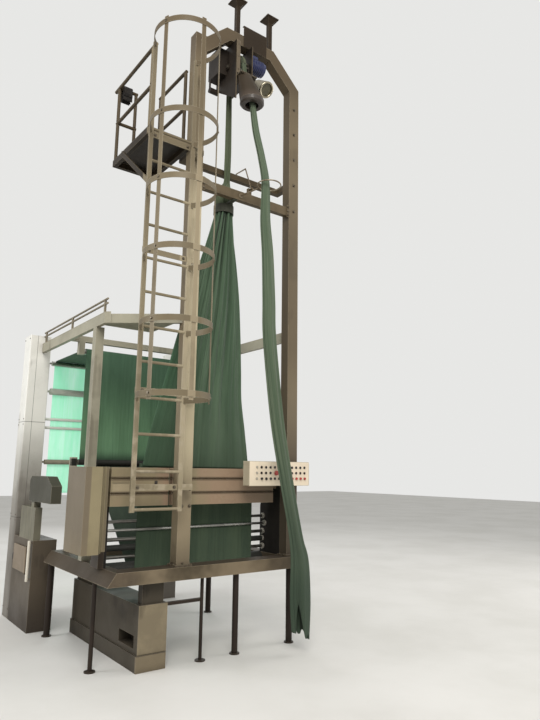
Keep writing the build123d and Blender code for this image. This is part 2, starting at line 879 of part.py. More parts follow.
# Funnel under the reel, from a square mouth to a round seat for the turning eye
with BuildPart() as rope_funnel:
    with BuildSketch(level(cheek_high - flange_thickness)):
        with Locations((funnel_top_x, funnel_top_y)):
            Circle(funnel_width / 2)
    with BuildSketch(level(eye_z)):
        with Locations((eye_x, eye_y)):
            Circle(eye_radius)
    loft(ruled=True)
    block(
        reel_x0 + cheek_thickness, reel_x1, funnel_top_y - funnel_depth / 2, funnel_top_y + funnel_depth / 2,
        cheek_high - flange_thickness, cheek_high,
    )
    with BuildSketch(level(cheek_high)):
        with Locations((funnel_top_x, funnel_top_y)):
            Circle(funnel_width / 2 - funnel_wall)
    with BuildSketch(level(eye_z + eye_height / 2)):
        with Locations((eye_x, eye_y)):
            Circle(eye_hub - funnel_wall)
    loft(ruled=True, mode=Mode.SUBTRACT)
    with BuildSketch(level(eye_z)):
        with Locations((eye_x, eye_y)):
            Circle(eye_hub + running_gap)
    extrude(amount=eye_height / 2, mode=Mode.SUBTRACT)
rope_funnel.part.label = "rope_funnel"
export_step(rope_funnel.part, "parts/rope_funnel.step")

# Turning eye: a turned ring with a rounded throat, its hub in the funnel's seat
with BuildPart() as turning_eye:
    with BuildSketch(Plane(origin=ground.from_local_coords((eye_x, eye_y, eye_z)), x_dir=(1, 0, 0), z_dir=(0, -1, 0))):
        with BuildLine():
            Polyline(
                (eye_bore, -eye_height), (eye_radius - 14, -eye_height), (eye_radius, -eye_height + 14),
                (eye_radius, -seat_gap), (eye_hub, -seat_gap), (eye_hub, eye_height / 2 - 2),
                (eye_hub - 12, eye_height / 2 - 2), (eye_bore, -eye_height / 2), close=True,
            )
        make_face()
    revolve(axis=Axis(ground.from_local_coords(Vector(eye_x, eye_y, 0)), (0, 0, 1)))
turning_eye.part.label = "turning_eye"
export_step(turning_eye.part, "parts/turning_eye.step")

# Work lamp: a tapered shade with a rolled rim, on a bent strap from the gear housing
with BuildPart() as work_lamp:
    with BuildSketch(Plane(origin=lamp_front, z_dir=aim)):
        Circle(lamp_radius)
    with BuildSketch(Plane(origin=lamp_back, z_dir=aim)):
        Circle(lamp_back_radius)
    loft()
    with BuildSketch(Plane(origin=lamp_front, z_dir=aim)):
        Circle(lamp_radius - lamp_rim)
    extrude(amount=-lamp_recess, mode=Mode.SUBTRACT)
work_lamp.part.label = "work_lamp"
export_step(work_lamp.part, "parts/work_lamp.step")

# Glass of the work lamp
with BuildPart() as lamp_glass:
    with BuildSketch(Plane(origin=lamp_front - aim * lamp_recess, z_dir=aim)):
        Circle(lamp_radius - lamp_rim - seat_gap)
    extrude(amount=lamp_recess / 2)
lamp_glass.part.label = "lamp_glass"
export_step(lamp_glass.part, "parts/lamp_glass.step")

# Infeed fabric rope: up through the guide ring and the eye to the front of the reel
wrap_radius = reel_radius + seat_gap + rope_depth / 2
rope_front = reel_y - wrap_radius
rope_rear = reel_y + wrap_radius
rise_sections = []
for fall, across, out, width, depth in rope_rises:
    x = eye_x + across * (ring_x + rope_ring_shift - eye_x)
    y = eye_y + out * (ring_y - eye_y)
    rise_sections.append((x, y, eye_z + fall * (ring_z - eye_z), width, depth))
fall_sections = []
for fall, out, shift, width, depth in rope_falls:
    y = ring_y + out * (rope_hang_y - ring_y)
    fall_sections.append((ring_x + shift, y, ring_z + fall * (rope_foot - ring_z), width, depth))
with BuildPart() as infeed_rope:
    drape((
        (drop_x, rope_front, reel_z - seat_gap, rope_width, rope_depth),
        (drop_x + 8, rope_front - 22, cheek_high, rope_width, rope_depth),
        (eye_x, eye_y, eye_z, rope_width, rope_width),
        *rise_sections,
        (ring_x + rope_ring_shift, ring_y, ring_z, 90, 80),
        *fall_sections,
    ))
infeed_rope.part.label = "infeed_rope"
export_step(infeed_rope.part, "parts/infeed_rope.step")

# Drop rope: over the reel and down its back into the opened collar
with BuildPart() as drop_rope:
    with BuildSketch(level(reel_z)):
        with Locations((drop_x, rope_rear)):
            Ellipse(rope_width / 2, rope_depth / 2)
    revolve(axis=Axis(ground.from_local_coords(Vector(drop_x, reel_y, reel_z)), (1, 0, 0)), revolution_arc=180)
    drape((
        (drop_x, rope_rear, reel_z, rope_width, rope_depth),
        (504, cone_y, 4881, 76, 60),
        (497, cone_y, 4500, 74, 70),
        (cone_x + 4, cone_y, collar_top, 1.85 * collar_radius, 1.85 * collar_radius),
        (cone_x, cone_y, cone_ring_z + cone_ring_height, 2 * collar_radius, 2 * collar_radius),
    ))
drop_rope.part.label = "drop_rope"
export_step(drop_rope.part, "parts/drop_rope.step")

# Opened tube of fabric that spreads from the ring to the full width at the slitter
cone_foot_width = cone_foot_right - cone_foot_left
cone_foot_mid = (cone_foot_left + cone_foot_right) / 2
cone_sections = []
for fall, across, back, spread, depth in cone_falls:
    x = cone_x + across * (cone_foot_mid - cone_x)
    y = cone_y + back * (web_y - cone_y)
    z = cone_ring_z + fall * (cone_foot - cone_ring_z)
    width = 2 * collar_radius + spread * (cone_foot_width - 2 * collar_radius)
    cone_sections.append((x, y, z, width, depth))
with BuildPart() as spread_cone:
    drape((
        (cone_x, cone_y, cone_ring_z + cone_ring_height - seat_gap, 2 * collar_radius, 2 * collar_radius),
        (cone_x, cone_y, cone_ring_z, 2 * collar_radius, 2 * collar_radius),
        *cone_sections,
        (cone_foot_mid, web_y, cone_foot, cone_foot_width, cone_foot_depth),
    ))
spread_cone.part.label = "spread_cone"
export_step(spread_cone.part, "parts/spread_cone.step")

# Ring round the collar, on a strap under the crossbeam
with BuildPart() as cone_ring:
    disc(level(cone_ring_z), (cone_x, cone_y), collar_radius + seat_gap + cone_ring_wall, cone_ring_height)
    disc(level(cone_ring_z), (cone_x, cone_y), collar_radius + seat_gap, cone_ring_height, Mode.SUBTRACT)
    ring_strap_z = cone_ring_z + cone_ring_height
    block(
        cone_x - 22, cone_x + 22, front_beam_y + 10, cone_y - collar_radius - 1,
        ring_strap_z, front_beam_z,
    )
cone_ring.part.label = "cone_ring"
export_step(cone_ring.part, "parts/cone_ring.step")

# Open web: down through the window, round the turn roller and up to the spreader bar
turn_radius = turn_roller_radius + seat_gap + web_thickness / 2
spreader_y = rear_web_y - web_thickness / 2 - seat_gap - spreader_radius
bar_radius = rear_web_y - spreader_y
climb = atan2(spreader_z - turn_roller_z, spreader_y - turn_y)
climb += asin((turn_radius - bar_radius) / hypot(spreader_z - turn_roller_z, spreader_y - turn_y))
leave = (turn_y + turn_radius * sin(climb), turn_roller_z - turn_radius * cos(climb))
meet = (spreader_y + bar_radius * sin(climb), spreader_z - bar_radius * cos(climb))


def web_part(line, width, name):
    """Sweeps the web's flat section along a line of runs and arcs."""
    with BuildPart() as web:
        with BuildSketch(Plane(origin=line.line @ 0, x_dir=(1, 0, 0), z_dir=line.line % 0)):
            Rectangle(width, web_thickness)
        sweep(path=line.line)
    finish(web.part, name)


with BuildLine(side(web_mid)) as front_line:
    Line((web_y, cone_foot - seat_gap), (web_y, turn_roller_z))
    CenterArc((turn_y, turn_roller_z), turn_radius, 180, 90 + degrees(climb))
    Line(leave, meet)
web_part(front_line, web_width, "front_web")

# Open web: up from the spreader bar, over the top roller, back and down behind the far rollers
top_turn = top_roller_radius + seat_gap + web_thickness / 2
with BuildLine(side(rear_web_left + rear_web_width / 2)) as rear_line:
    CenterArc((spreader_y, spreader_z), bar_radius, degrees(climb) - 89, 89 - degrees(climb))
    Line((rear_web_y, spreader_z), (rear_web_y, top_roller_z))
    CenterArc((rear_web_y + top_turn, top_roller_z), top_turn, 180, -90)
    Line((rear_web_y + top_turn, top_roller_z + top_turn), (far_web_y - top_turn, top_roller_z + top_turn))
    CenterArc((far_web_y - top_turn, top_roller_z), top_turn, 90, -90)
    Line((far_web_y, top_roller_z), (far_web_y, far_web_foot))
web_part(rear_line, rear_web_width, "rear_web")

# Side plates of the slitting window, bored for the roller journals
front_roller_y = web_y - web_thickness / 2 - seat_gap - front_roller[1]
roller_places = [(front_roller_y, front_roller[0], front_roller[1])]
for z, radius in back_rollers:
    roller_places.append((web_y + web_thickness / 2 + seat_gap + radius, z, radius))
with BuildPart() as side_plates:
    for x, plate_front in ((window_left - side_plate, side_plate_front), (window_right, post_depth)):
        shape(
            side(x),
            (
                (plate_front, sill_top), (side_plate_back, sill_top), (side_plate_back, side_plate_shoulder),
                (web_y - cone_foot_depth, side_plate_top), (plate_front, side_plate_top),
            ),
            side_plate,
        )
    block(
        window_right, window_right + side_plate, post_depth, sill_back + seat_gap,
        sill_top, post_foot + seat_gap, Mode.SUBTRACT,
    )
    for y, z, radius in roller_places:
        disc(
            side(window_left - side_plate - 1), (y, z), journal_of(radius) + running_gap,
            window_right - window_left + 2 * side_plate + 2, Mode.SUBTRACT,
        )
side_plates.part.label = "side_plates"
export_step(side_plates.part, "parts/side_plates.step")

# Flange bearings on the inner faces of the side plates
with BuildPart() as bearing_flanges:
    for y, z, radius in roller_places:
        for x in (window_left, window_right - flange_width):
            with BuildSketch(side(x)):
                with Locations((y, z)):
                    Circle(flange_radius)
                    Circle(journal_of(radius) + running_gap, mode=Mode.SUBTRACT)
            extrude(amount=flange_width)
bearing_flanges.part.label = "bearing_flanges"
export_step(bearing_flanges.part, "parts/bearing_flanges.step")


def roller(name, y, z, radius, x0, x1, journal):
    """A roller with a stepped journal at each end."""
    with BuildPart() as turned:
        disc(side(x0), (y, z), radius, x1 - x0)
        disc(side(x0 - journal), (y, z), journal_of(radius), x1 - x0 + 2 * journal)
        chamfer(turned.edges().filter_by(GeomType.CIRCLE).group_by(SortBy.RADIUS)[-1], 1)
    finish(turned.part, name)


# Rollers of the slitting window, the first in front of the web and the others behind it
for number, (y, z, radius) in enumerate(roller_places, start=1):
    inset = flange_width + roller_end_gap
    roller(
        f"window_roller_{number}", y, z, radius,
        window_left + inset, window_right - inset, inset + journal_length,
    )

# Turn roller between the side sills
roller(
    "turn_roller", turn_y, turn_roller_z, turn_roller_radius,
    side_sill_inner + roller_end_gap, right_sill_inner - roller_end_gap,
    roller_end_gap + turn_journal_depth,
)

# Rear frame: side beams, the post beside the window, the angled tie beam, cross beam and uprights
upright_left = rear_web_left - rear_upright_gap - rear_upright_size
upright_right = rear_web_left + rear_web_width + rear_upright_gap
right_beam = tower_right - post_width + (post_width - beam_width) / 2
with BuildPart() as rear_frame:
    beam_right = beam_left + beam_width
    beam_top_z = beam_z + beam_height
    shape(
        level(beam_z),
        ((beam_left, tie_front_y), (beam_right, tie_front_y - 40), (beam_right, column_y), (beam_left, column_y)),
        beam_height,
    )
    block(right_beam, right_beam + beam_width, post_depth, column_y, beam_z, beam_top_z)
    block(beam_left, beam_left + post2_size, post2_y, post2_y + post2_size, sill_top, beam_z)
    shape(
        level(beam_z),
        ((beam_left, tie_front_y), (tower_left, post_depth / 2), (tower_left, post_depth), (beam_right, tie_front_y + tie_width)),
        tie_height,
    )
    shape(
        level(beam_z + tie_height / 2),
        ((beam_left, tie_front_y), (tower_left, post_depth), (tower_left + 40, post_depth), (tower_left + 40, post2_y + post2_size), (beam_right, post2_y + post2_size)),
        sheet,
    )
    cross_y0 = rear_web_y - rear_upright_size / 2
    block(beam_left, right_beam + beam_width, cross_y0, cross_y0 + rear_upright_size, beam_z, beam_z + rear_upright_size)
    for x in (upright_left, upright_right):
        block(x, x + rear_upright_size, cross_y0, cross_y0 + rear_upright_size, hanger_bottom, beam_z)
        block(x, x + rear_upright_size, cross_y0, cross_y0 + rear_upright_size, sill_top, stand_top)
    for x in (upright_left, upright_right):
        disc(
            side(x - 1), (rear_web_y + top_turn, top_roller_z), journal_radius + running_gap,
            rear_upright_size + 2, Mode.SUBTRACT,
        )
    disc(side(upright_left + rear_upright_size), (spreader_y, spreader_z), spreader_radius, upright_right - upright_left - rear_upright_size)
    for z in rod_heights:
        rod((beam_left + beam_width / 2, tie_front_y, z), (beam_left + beam_width / 2, column_y, z), rod_radius)
    for y in (tie_front_y + 60, (tie_front_y + column_y) / 2, column_y - 60):
        block(beam_left + 12, beam_right - 12, y - 10, y + 10, beam_top_z, rod_heights[-1])
rear_frame.part.label = "rear_frame"
export_step(rear_frame.part, "parts/rear_frame.step")

# Top roller of the rear web, in the rear uprights
roller(
    "top_roller", rear_web_y + top_turn, top_roller_z, top_roller_radius,
    upright_left + rear_upright_size + roller_end_gap, upright_right - roller_end_gap,
    roller_end_gap + rear_upright_size,
)

# End columns of box section with the fixed guide rods between them
far_places = (
    ("far_roller_top", far_web_y - top_turn, top_roller_z, top_roller_radius),
    ("far_roller_middle", far_web_y - web_thickness / 2 - seat_gap - far_roller_mid[1], *far_roller_mid),
    ("far_roller_low", far_web_y - web_thickness / 2 - seat_gap - far_roller_low[1], *far_roller_low),
)
column_inner = column_left + column_width
with BuildPart() as end_columns:
    block(column_left, column_inner, column_y, column_back, 0, column_height)
    block(right_column_left, right_column_left + right_column_width, column_y, column_back, 0, column_height)
    fillet(end_columns.edges().filter_by(Axis.Z), 10)
    for name, y, z, radius in far_places:
        for x, amount in ((column_inner, -far_journal_depth - 2), (right_column_left, far_journal_depth + 2)):
            disc(side(x), (y, z), journal_radius + running_gap, amount, Mode.SUBTRACT)
    rod_y = far_web_y - web_thickness / 2 - seat_gap - guide_rod_radius
    for z in guide_rod_heights:
        disc(side(column_inner), (rod_y, z), guide_rod_radius, right_column_left - column_inner)
end_columns.part.label = "end_columns"
export_step(end_columns.part, "parts/end_columns.step")

# Far rollers between the columns
for name, y, z, radius in far_places:
    roller(
        name, y, z, radius, column_inner + far_journal_length, right_column_left - far_journal_length,
        far_journal_length + far_journal_depth,
    )

# Left cover: a faceted sheet housing outside the window, and the gear case behind it
with BuildPart() as left_cover:
    case_right = window_left - side_plate
    shape(
        level(cover_bottom),
        (
            (cover_left + cover_facet, cover_back), (cover_left, cover_back - cover_facet),
            (cover_left, cover_front), (case_left - 2 * cover_facet + 40, cover_front),
            (case_left, case_front - cover_facet), (case_left, cover_back),
        ),
        cover_top - cover_bottom,
    )
    block(case_left, case_step, case_front, cover_back, cover_bottom, cover_top)
    block(case_step, case_right, side_plate_front, cover_back, sill_top, cover_top)
left_cover.part.label = "left_cover"
export_step(left_cover.part, "parts/left_cover.step")

# Tray covers over the slitter: folded fronts with two creases, on a beam between the side plates
with BuildPart() as tray_covers:
    tray_profile = (
        (tray_front, tray_bottom), (tray_front, tray_crease_low - crease_height),
        (tray_front + crease_depth, tray_crease_low), (tray_front, tray_crease_low + crease_height),
        (tray_front, tray_crease_high - crease_height), (tray_front + crease_depth, tray_crease_high),
        (tray_front, tray_crease_high + crease_height), (tray_front, tray_top),
        (tray_front + tray_depth, tray_top), (tray_front + tray_depth, tray_bottom),
    )
    shape(side(tray_left), tray_profile, tray_gap_left - tray_left)
    shape(side(tray_gap_right), tray_profile, tray_right - tray_gap_right)
    block(
        recess_left, recess_right, tray_front - 1, tray_front + recess_depth,
        recess_z0, recess_z1, Mode.SUBTRACT,
    )
    beam_mid_z = (tray_bottom + tray_top) / 2
    block(
        window_left, window_right, tray_front + tray_depth, side_plate_front + tray_beam_height / 2,
        beam_mid_z - tray_beam_height / 2, beam_mid_z + tray_beam_height / 2,
    )
tray_covers.part.label = "tray_covers"
export_step(tray_covers.part, "parts/tray_covers.step")

# Control panel: a shallow box on a bracket from the right post, with seats for the push-buttons
black_columns = (1, 2, 3)
red_columns = (8, 9, 10, 11)
moving_places = []
for column in black_columns + red_columns:
    moving_places.append((button_first_x + column * button_pitch, row_top - 2 * row_pitch))
with BuildPart() as control_panel:
    with BuildSketch(front(panel_back)):
        with Locations(((panel_left + panel_right) / 2, panel_bottom + panel_height / 2)):
            RectangleRounded(panel_right - panel_left, panel_height, panel_corner)
    extrude(amount=panel_depth)
    block(
        tower_right - post_width, tower_right, panel_back, -weld_gap,
        panel_bottom + panel_height / 4, panel_bottom + 3 * panel_height / 4,
    )
    for x, z in moving_places + [(e_stop_x, row_top - row_pitch)]:
        disc(front(panel_front), (x, z), stem_radius + running_gap, -stem_depth - button_travel - 2, Mode.SUBTRACT)
control_panel.part.label = "control_panel"
export_step(control_panel.part, "parts/control_panel.step")

# Signal lamps in the other places of the panel
with BuildPart() as signal_lamps:
    for row in range(3):
        for column in range(12):
            x = button_first_x + column * button_pitch
            z = row_top - row * row_pitch
            if (x, z) in moving_places or (row == 1 and column == 4):
                continue
            disc(front(panel_front - lamp_button_height / 2), (x, z), lamp_button_radius - 3, lamp_button_height / 2)
            disc(front(panel_front), (x, z), lamp_button_radius, lamp_button_height / 2)
signal_lamps.part.label = "signal_lamps"
export_step(signal_lamps.part, "parts/signal_lamps.step")


def push_button(name, x, z, radius, height):
    """A cap that stands off the panel by its travel, on a stem in the panel's bore."""
    with BuildPart() as button:
        face = panel_front - button_travel - 1
        disc(front(face), (x, z), radius, height)
        fillet(button.edges().group_by(Axis.Y)[0], height / 4)
        disc(front(face), (x, z), stem_radius, -stem_depth)
    finish(button.part, name)


# Push-buttons of the lower row and the stop button
for number, place in enumerate(moving_places[:len(black_columns)], start=1):
    push_button(f"black_button_{number}", *place, cap_radius, cap_height)
for number, place in enumerate(moving_places[len(black_columns):], start=1):
    push_button(f"red_button_{number}", *place, cap_radius, cap_height)
push_button("stop_button", e_stop_x, row_top - row_pitch, e_stop_radius, e_stop_height)

# Side cabinet in front of the left column, with hinge lugs and an upright tube
door_x = column_left - door_gap - door_thickness / 2
with BuildPart() as side_cabinet:
    block(column_left, column_inner, cabinet_front, column_y, 0, cabinet_height)
    for z in (door_z0 - weld_gap - lug_height - 1, door_z1 + weld_gap + 1):
        block(
            door_x - hinge_radius, column_left, door_y0 - hinge_radius, door_y0 + hinge_radius,
            z, z + lug_height,
        )
    disc(level(door_z0 - 2), (door_x, door_y0), hinge_pin, 2 + lug_height)
    disc(level(door_z1 + 2), (door_x, door_y0), hinge_pin, -2 - lug_height)
    tube_y = cabinet_front + 2 * tube_radius
    tube_x = column_left - tube_radius - tube_stand
    disc(level(tube_foot), (tube_x, tube_y), tube_radius, cabinet_height - tube_foot)
    for z in (tube_foot + tube_radius, cabinet_height - 2 * tube_radius):
        block(tube_x, column_left, tube_y - tube_radius / 2, tube_y + tube_radius / 2, z, z + tube_radius)
side_cabinet.part.label = "side_cabinet"
export_step(side_cabinet.part, "parts/side_cabinet.step")

# Cabinet door with its hinge barrel
with BuildPart() as cabinet_door:
    block(
        door_x - door_thickness / 2, door_x + door_thickness / 2, door_y0, door_y1, door_z0, door_z1,
    )
    disc(level(door_z0), (door_x, door_y0), hinge_radius, door_z1 - door_z0)
    disc(level(door_z0 - 1), (door_x, door_y0), hinge_pin + running_gap, door_z1 - door_z0 + 2, Mode.SUBTRACT)
cabinet_door.part.label = "cabinet_door"
export_step(cabinet_door.part, "parts/cabinet_door.step")

# Drive guard on the cabinet: a flat panel and the gear block above it
with BuildPart() as drive_guard:
    block(
        column_left, column_left + guard_panel_x, guard_panel_y0, guard_panel_y1,
        cabinet_height, guard_panel_top,
    )
    shape(
        side(column_left),
        (
            (gear_block_y0, gear_block_z0), (gear_block_y1, gear_block_z0), (gear_block_y1, gear_block_z1 - 40),
            (gear_block_y1 - 60, gear_block_z1), (gear_block_y0 + 160, gear_block_z1), (gear_block_y0, gear_block_z1 - 90),
        ),
        gear_block_x,
    )
    block(
        column_left, column_left + guard_panel_x, guard_panel_y0 + 60, guard_panel_y0 + 140,
        guard_panel_top, gear_block_z0,
    )
drive_guard.part.label = "drive_guard"
export_step(drive_guard.part, "parts/drive_guard.step")
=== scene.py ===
import bpy, bmesh, math, random
from mathutils import Matrix, Vector


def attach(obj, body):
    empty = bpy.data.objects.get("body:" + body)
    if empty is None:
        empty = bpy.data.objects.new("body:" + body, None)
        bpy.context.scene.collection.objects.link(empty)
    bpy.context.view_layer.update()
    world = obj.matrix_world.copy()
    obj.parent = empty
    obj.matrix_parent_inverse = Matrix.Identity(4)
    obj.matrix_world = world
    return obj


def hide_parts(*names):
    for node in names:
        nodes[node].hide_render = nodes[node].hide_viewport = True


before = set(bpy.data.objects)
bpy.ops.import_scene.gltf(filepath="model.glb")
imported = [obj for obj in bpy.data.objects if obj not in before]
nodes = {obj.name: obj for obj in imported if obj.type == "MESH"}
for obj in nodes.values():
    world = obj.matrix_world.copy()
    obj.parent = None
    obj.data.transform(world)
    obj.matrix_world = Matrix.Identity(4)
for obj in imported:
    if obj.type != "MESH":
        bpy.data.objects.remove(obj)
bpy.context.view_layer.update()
bpy.ops.object.select_all(action="DESELECT")

# The hall around the machine: a pale floor, a pale backdrop and soft lamps. The camera stands
# low in front of the left corner and looks up the tower, as the photograph does.
scene = bpy.context.scene
scene.view_settings.view_transform = "Standard"
camera_place, camera_lens = (-2.8126, -5.695, 1.6), 30.1
camera_turn, camera_tilt, camera_roll = -36.77, 100.31, 0.72
camera = bpy.data.objects.new("camera", bpy.data.cameras.new("camera"))
scene.collection.objects.link(camera)
camera.data.sensor_width = 36
camera.data.lens = camera_lens
camera.data.clip_end = 200
camera.matrix_world = (
    Matrix.Translation(camera_place)
    @ Matrix.Rotation(math.radians(camera_turn), 4, "Z")
    @ Matrix.Rotation(math.radians(camera_tilt), 4, "X")
    @ Matrix.Rotation(math.radians(camera_roll), 4, "Z")
)
scene.camera = camera


def lamp(name, place, aim, size, watts, tint):
    light = bpy.data.lights.new(name, "AREA")
    light.shape = "DISK"
    light.size = size
    light.energy = watts
    light.color = tint
    holder = bpy.data.objects.new(name, light)
    holder.location = place
    holder.rotation_euler = (Vector(aim) - Vector(place)).to_track_quat("-Z", "Y").to_euler()
    scene.collection.objects.link(holder)


lamp("front_lamp", (-3.5, -7.5, 7.5), aim=(0, 0, 2.2), size=5.0, watts=620, tint=(1, 0.97, 0.92))
lamp("left_lamp", (-8.5, 2.0, 5.0), aim=(0, 0.3, 1.8), size=4.0, watts=300, tint=(0.96, 0.98, 1))
lamp("right_lamp", (8.0, -3.0, 5.5), aim=(0, 0, 2.4), size=5.0, watts=240, tint=(1, 0.98, 0.95))
lamp("back_lamp", (3.5, 9.0, 6.0), aim=(0, 0.4, 2.2), size=5.0, watts=190, tint=(0.98, 0.99, 1))


class Shade:
    """One socket of a material. Sums written on it add Math nodes."""

    def __init__(self, tree, socket):
        self.tree = tree
        self.socket = socket

    def node(self, kind, settings=None, inputs=None, out=0):
        """Adds a node: its settings first, then its sockets' values or links."""
        made = self.tree.nodes.new("ShaderNode" + kind)
        for key, value in (settings or {}).items():
            setattr(made, key, value)
        for key, value in (inputs or {}).items():
            if isinstance(value, Shade):
                self.tree.links.new(value.socket, made.inputs[key])
            else:
                made.inputs[key].default_value = value
        return Shade(self.tree, made.outputs[out])

    def sums(self, operation, first, second):
        return self.node("Math", {"operation": operation}, {0: first, 1: second})

    def __add__(self, other):
        return self.sums("ADD", self, other)

    __radd__ = __add__

    def __sub__(self, other):
        return self.sums("SUBTRACT", self, other)

    def __rsub__(self, other):
        return self.sums("SUBTRACT", other, self)

    def __mul__(self, other):
        return self.sums("MULTIPLY", self, other)

    __rmul__ = __mul__


def begin(name, roughness=0.5, metallic=0.0, specular=0.5, coat=0.0):
    """Starts a finish: its material, its shader and its Object coordinates."""
    material = bpy.data.materials.new(name)
    material.use_nodes = True
    tree = material.node_tree
    shader = tree.nodes["Principled BSDF"]
    shader.inputs["Roughness"].default_value = roughness
    shader.inputs["Metallic"].default_value = metallic
    shader.inputs["Specular IOR Level"].default_value = specular
    shader.inputs["Coat Weight"].default_value = coat
    return material, shader, Shade(tree, tree.nodes.new("ShaderNodeTexCoord").outputs["Object"])


def feed(shader, **links):
    """Links worked-out values to the shader, as in Base_Color=paint."""
    for key, value in links.items():
        value.tree.links.new(value.socket, shader.inputs[key.replace("_", " ")])


def mottle(place, scale, detail=4.0, stretch=(1, 1, 1), rough=0.6):
    """Cloudy noise at so many patches to the metre."""
    if stretch != (1, 1, 1):
        place = place.node("Mapping", None, {"Vector": place, "Scale": stretch})
    inputs = {"Vector": place, "Scale": scale, "Detail": detail, "Roughness": rough}
    return place.node("TexNoise", None, inputs)


def step(value, low, high):
    """Rises from 0 to 1 as the value goes from low to high."""
    inputs = {"Value": value, "From Min": low, "From Max": high}
    return value.node("MapRange", {"interpolation_type": "SMOOTHSTEP"}, inputs)


def blend(mask, under, over):
    """Colour 'over' laid on colour 'under' where the mask is 1."""
    tones = {6: under, 7: over}
    return mask.node("Mix", {"data_type": "RGBA"}, {
        0: mask, **{k: v if isinstance(v, Shade) else (*v, 1) for k, v in tones.items()},
    }, 2)


def floor_finish():
    material, shader, place = begin("hall_floor", 0.75)
    wear = step(mottle(place, 0.7, 5), 0.35, 0.7)
    feed(shader, Base_Color=blend(wear, (0.66, 0.65, 0.63), (0.60, 0.59, 0.565)))
    return material


bpy.ops.mesh.primitive_plane_add(size=60, location=(0, 0, 0))
floor = bpy.context.object
floor.name = "hall_floor"
floor.data.materials.append(floor_finish())
floor.select_set(False)

world = bpy.data.worlds.new("hall")
scene.world = world
world.use_nodes = True
sky = world.node_tree
paths = Shade(sky, sky.nodes.new("ShaderNodeLightPath").outputs["Is Camera Ray"])
mirrors = Shade(sky, sky.nodes["Light Path"].outputs["Is Glossy Ray"])
panes = Shade(sky, sky.nodes["Light Path"].outputs["Is Transmission Ray"])
seen = step(paths + mirrors + panes, 0, 1)
backdrop = sky.nodes["Background"]
backdrop.inputs["Strength"].default_value = 1
sky.links.new(blend(seen, (0.62, 0.62, 0.60), (0.80, 0.80, 0.785)).socket, backdrop.inputs["Color"])


# Tower portal: two box posts with chamfered shoulders and a crown, welded of folded steel and
# brushed with cream enamel years ago. Lint and oil dull it, drips run down its upright faces and
# its edges are rubbed. Its front faces on the left are painted lighter as lit, and painted shade
# darkens it higher up, towards the crown and the floor and on the right post.
def part_of(place, axis):
    """The x, y or z of a place on the machine, for axis 0, 1 or 2."""
    return place.node("SeparateXYZ", None, {"Vector": place}, axis)


def band(value, low, high, soft):
    """1 between two values, falling off softly outside them."""
    return step(value, low - soft, low) * (1 - step(value, high, high + soft))


def relief(height, strength, distance):
    """Bump of so many metres for the Normal socket."""
    return height.node("Bump", None, {"Height": height, "Strength": strength, "Distance": distance})


def enamel(
    name, coat, soot, under,
    dirt=0.5, drips=0.35, rubbed=0.8, roughness=0.5, specks=0.6, marks=None,
):
    """Brushed paint in tone coat with soot in its corners; marks adds what only one piece has."""
    material, shader, place = begin(name, roughness, specular=0.15)
    clouds = step(mottle(place, 1.9, 6), 0.34, 0.70)
    paint = blend(clouds, coat, tuple(c * 0.82 for c in coat))
    if marks:
        paint = marks(place, paint)
    runs = mottle(place, 1.0, 4, (19, 19, 0.7)) * step(mottle(place, 1.7, 3), 0.44, 0.64)
    paint = blend(step(runs, 0.34, 0.60) * drips, paint, soot)
    corner = place.node("AmbientOcclusion", {"samples": 6}, {"Distance": 0.10}, 1)
    grime = (1 - step(corner, 0.35, 0.92)) * 0.75 + step(mottle(place, 0.8, 7, rough=0.7), 0.50, 0.78)
    paint = blend(step(grime, 0, 1) * dirt, paint, soot)
    bevel = place.node("Bevel", {"samples": 4}, {"Radius": 0.006})
    flat = Shade(place.tree, place.tree.nodes.new("ShaderNodeNewGeometry").outputs["Normal"])
    edge = 1 - place.node("VectorMath", {"operation": "DOT_PRODUCT"}, {0: bevel, 1: flat}, 1)
    chips = step(edge * (0.3 + mottle(place, 24, 4)), 0.03, 0.13)
    paint = blend(chips * rubbed, paint, under)
    dots = step(mottle(place, 75, 3), 0.66, 0.72) * step(mottle(place, 3, 3), 0.48, 0.66)
    paint = blend(dots * specks, paint, tuple(c * 0.35 for c in soot))
    skin = mottle(place, 160, 3) * 0.5 + mottle(place, 9, 3) * 1.5
    feed(
        shader, Base_Color=paint, Normal=relief(skin, 0.25, 0.0015),
        Roughness=roughness - 0.10 + clouds * 0.16 + chips * 0.05,
    )
    return material


def dress(material, *names):
    """Gives a finish to every slot of these nodes."""
    for name in names:
        for slot in nodes[name].material_slots:
            slot.material = material


def tower_light_and_shade(place, paint):
    # Painted light and shade: the left post's front faces are painted lighter as lit, and the paint is
    # darkened as shade higher up, near the floor, on the right post and most on that post's inner face.
    height, right = part_of(place, 2), step(part_of(place, 0), 0.86, 0.93)
    facing = Shade(place.tree, place.tree.nodes.new("ShaderNodeNewGeometry").outputs["Normal"])
    lit_front = step(part_of(facing, 1), -0.4, -0.8) * (1 - right)
    paint = blend(band(height, 2.9, 4.0, 0.8) * (0.80 - lit_front * 0.80), paint, (0.128, 0.099, 0.062))
    paint = blend(band(height, 1.9, 4.0, 0.6) * lit_front * 0.85, paint, (0.52, 0.45, 0.31))
    paint = blend(step(height, 4.2, 5.0) * 0.50, paint, (0.125, 0.093, 0.054))
    paint = blend(step(part_of(facing, 0), -0.4, -0.8) * right * 0.60, paint, (0.060, 0.045, 0.029))
    paint = blend(step(height, 5.30, 5.86) * 0.88, paint, (0.078, 0.057, 0.035))
    paint = blend(right * 0.30, paint, (0.085, 0.066, 0.043))
    paint = blend(right * (1 - step(height, 1.4, 2.6)) * 0.75, paint, (0.070, 0.057, 0.044))
    return blend((1 - step(height, 0.80, 1.05)) * 0.45, paint, (0.09, 0.070, 0.048))


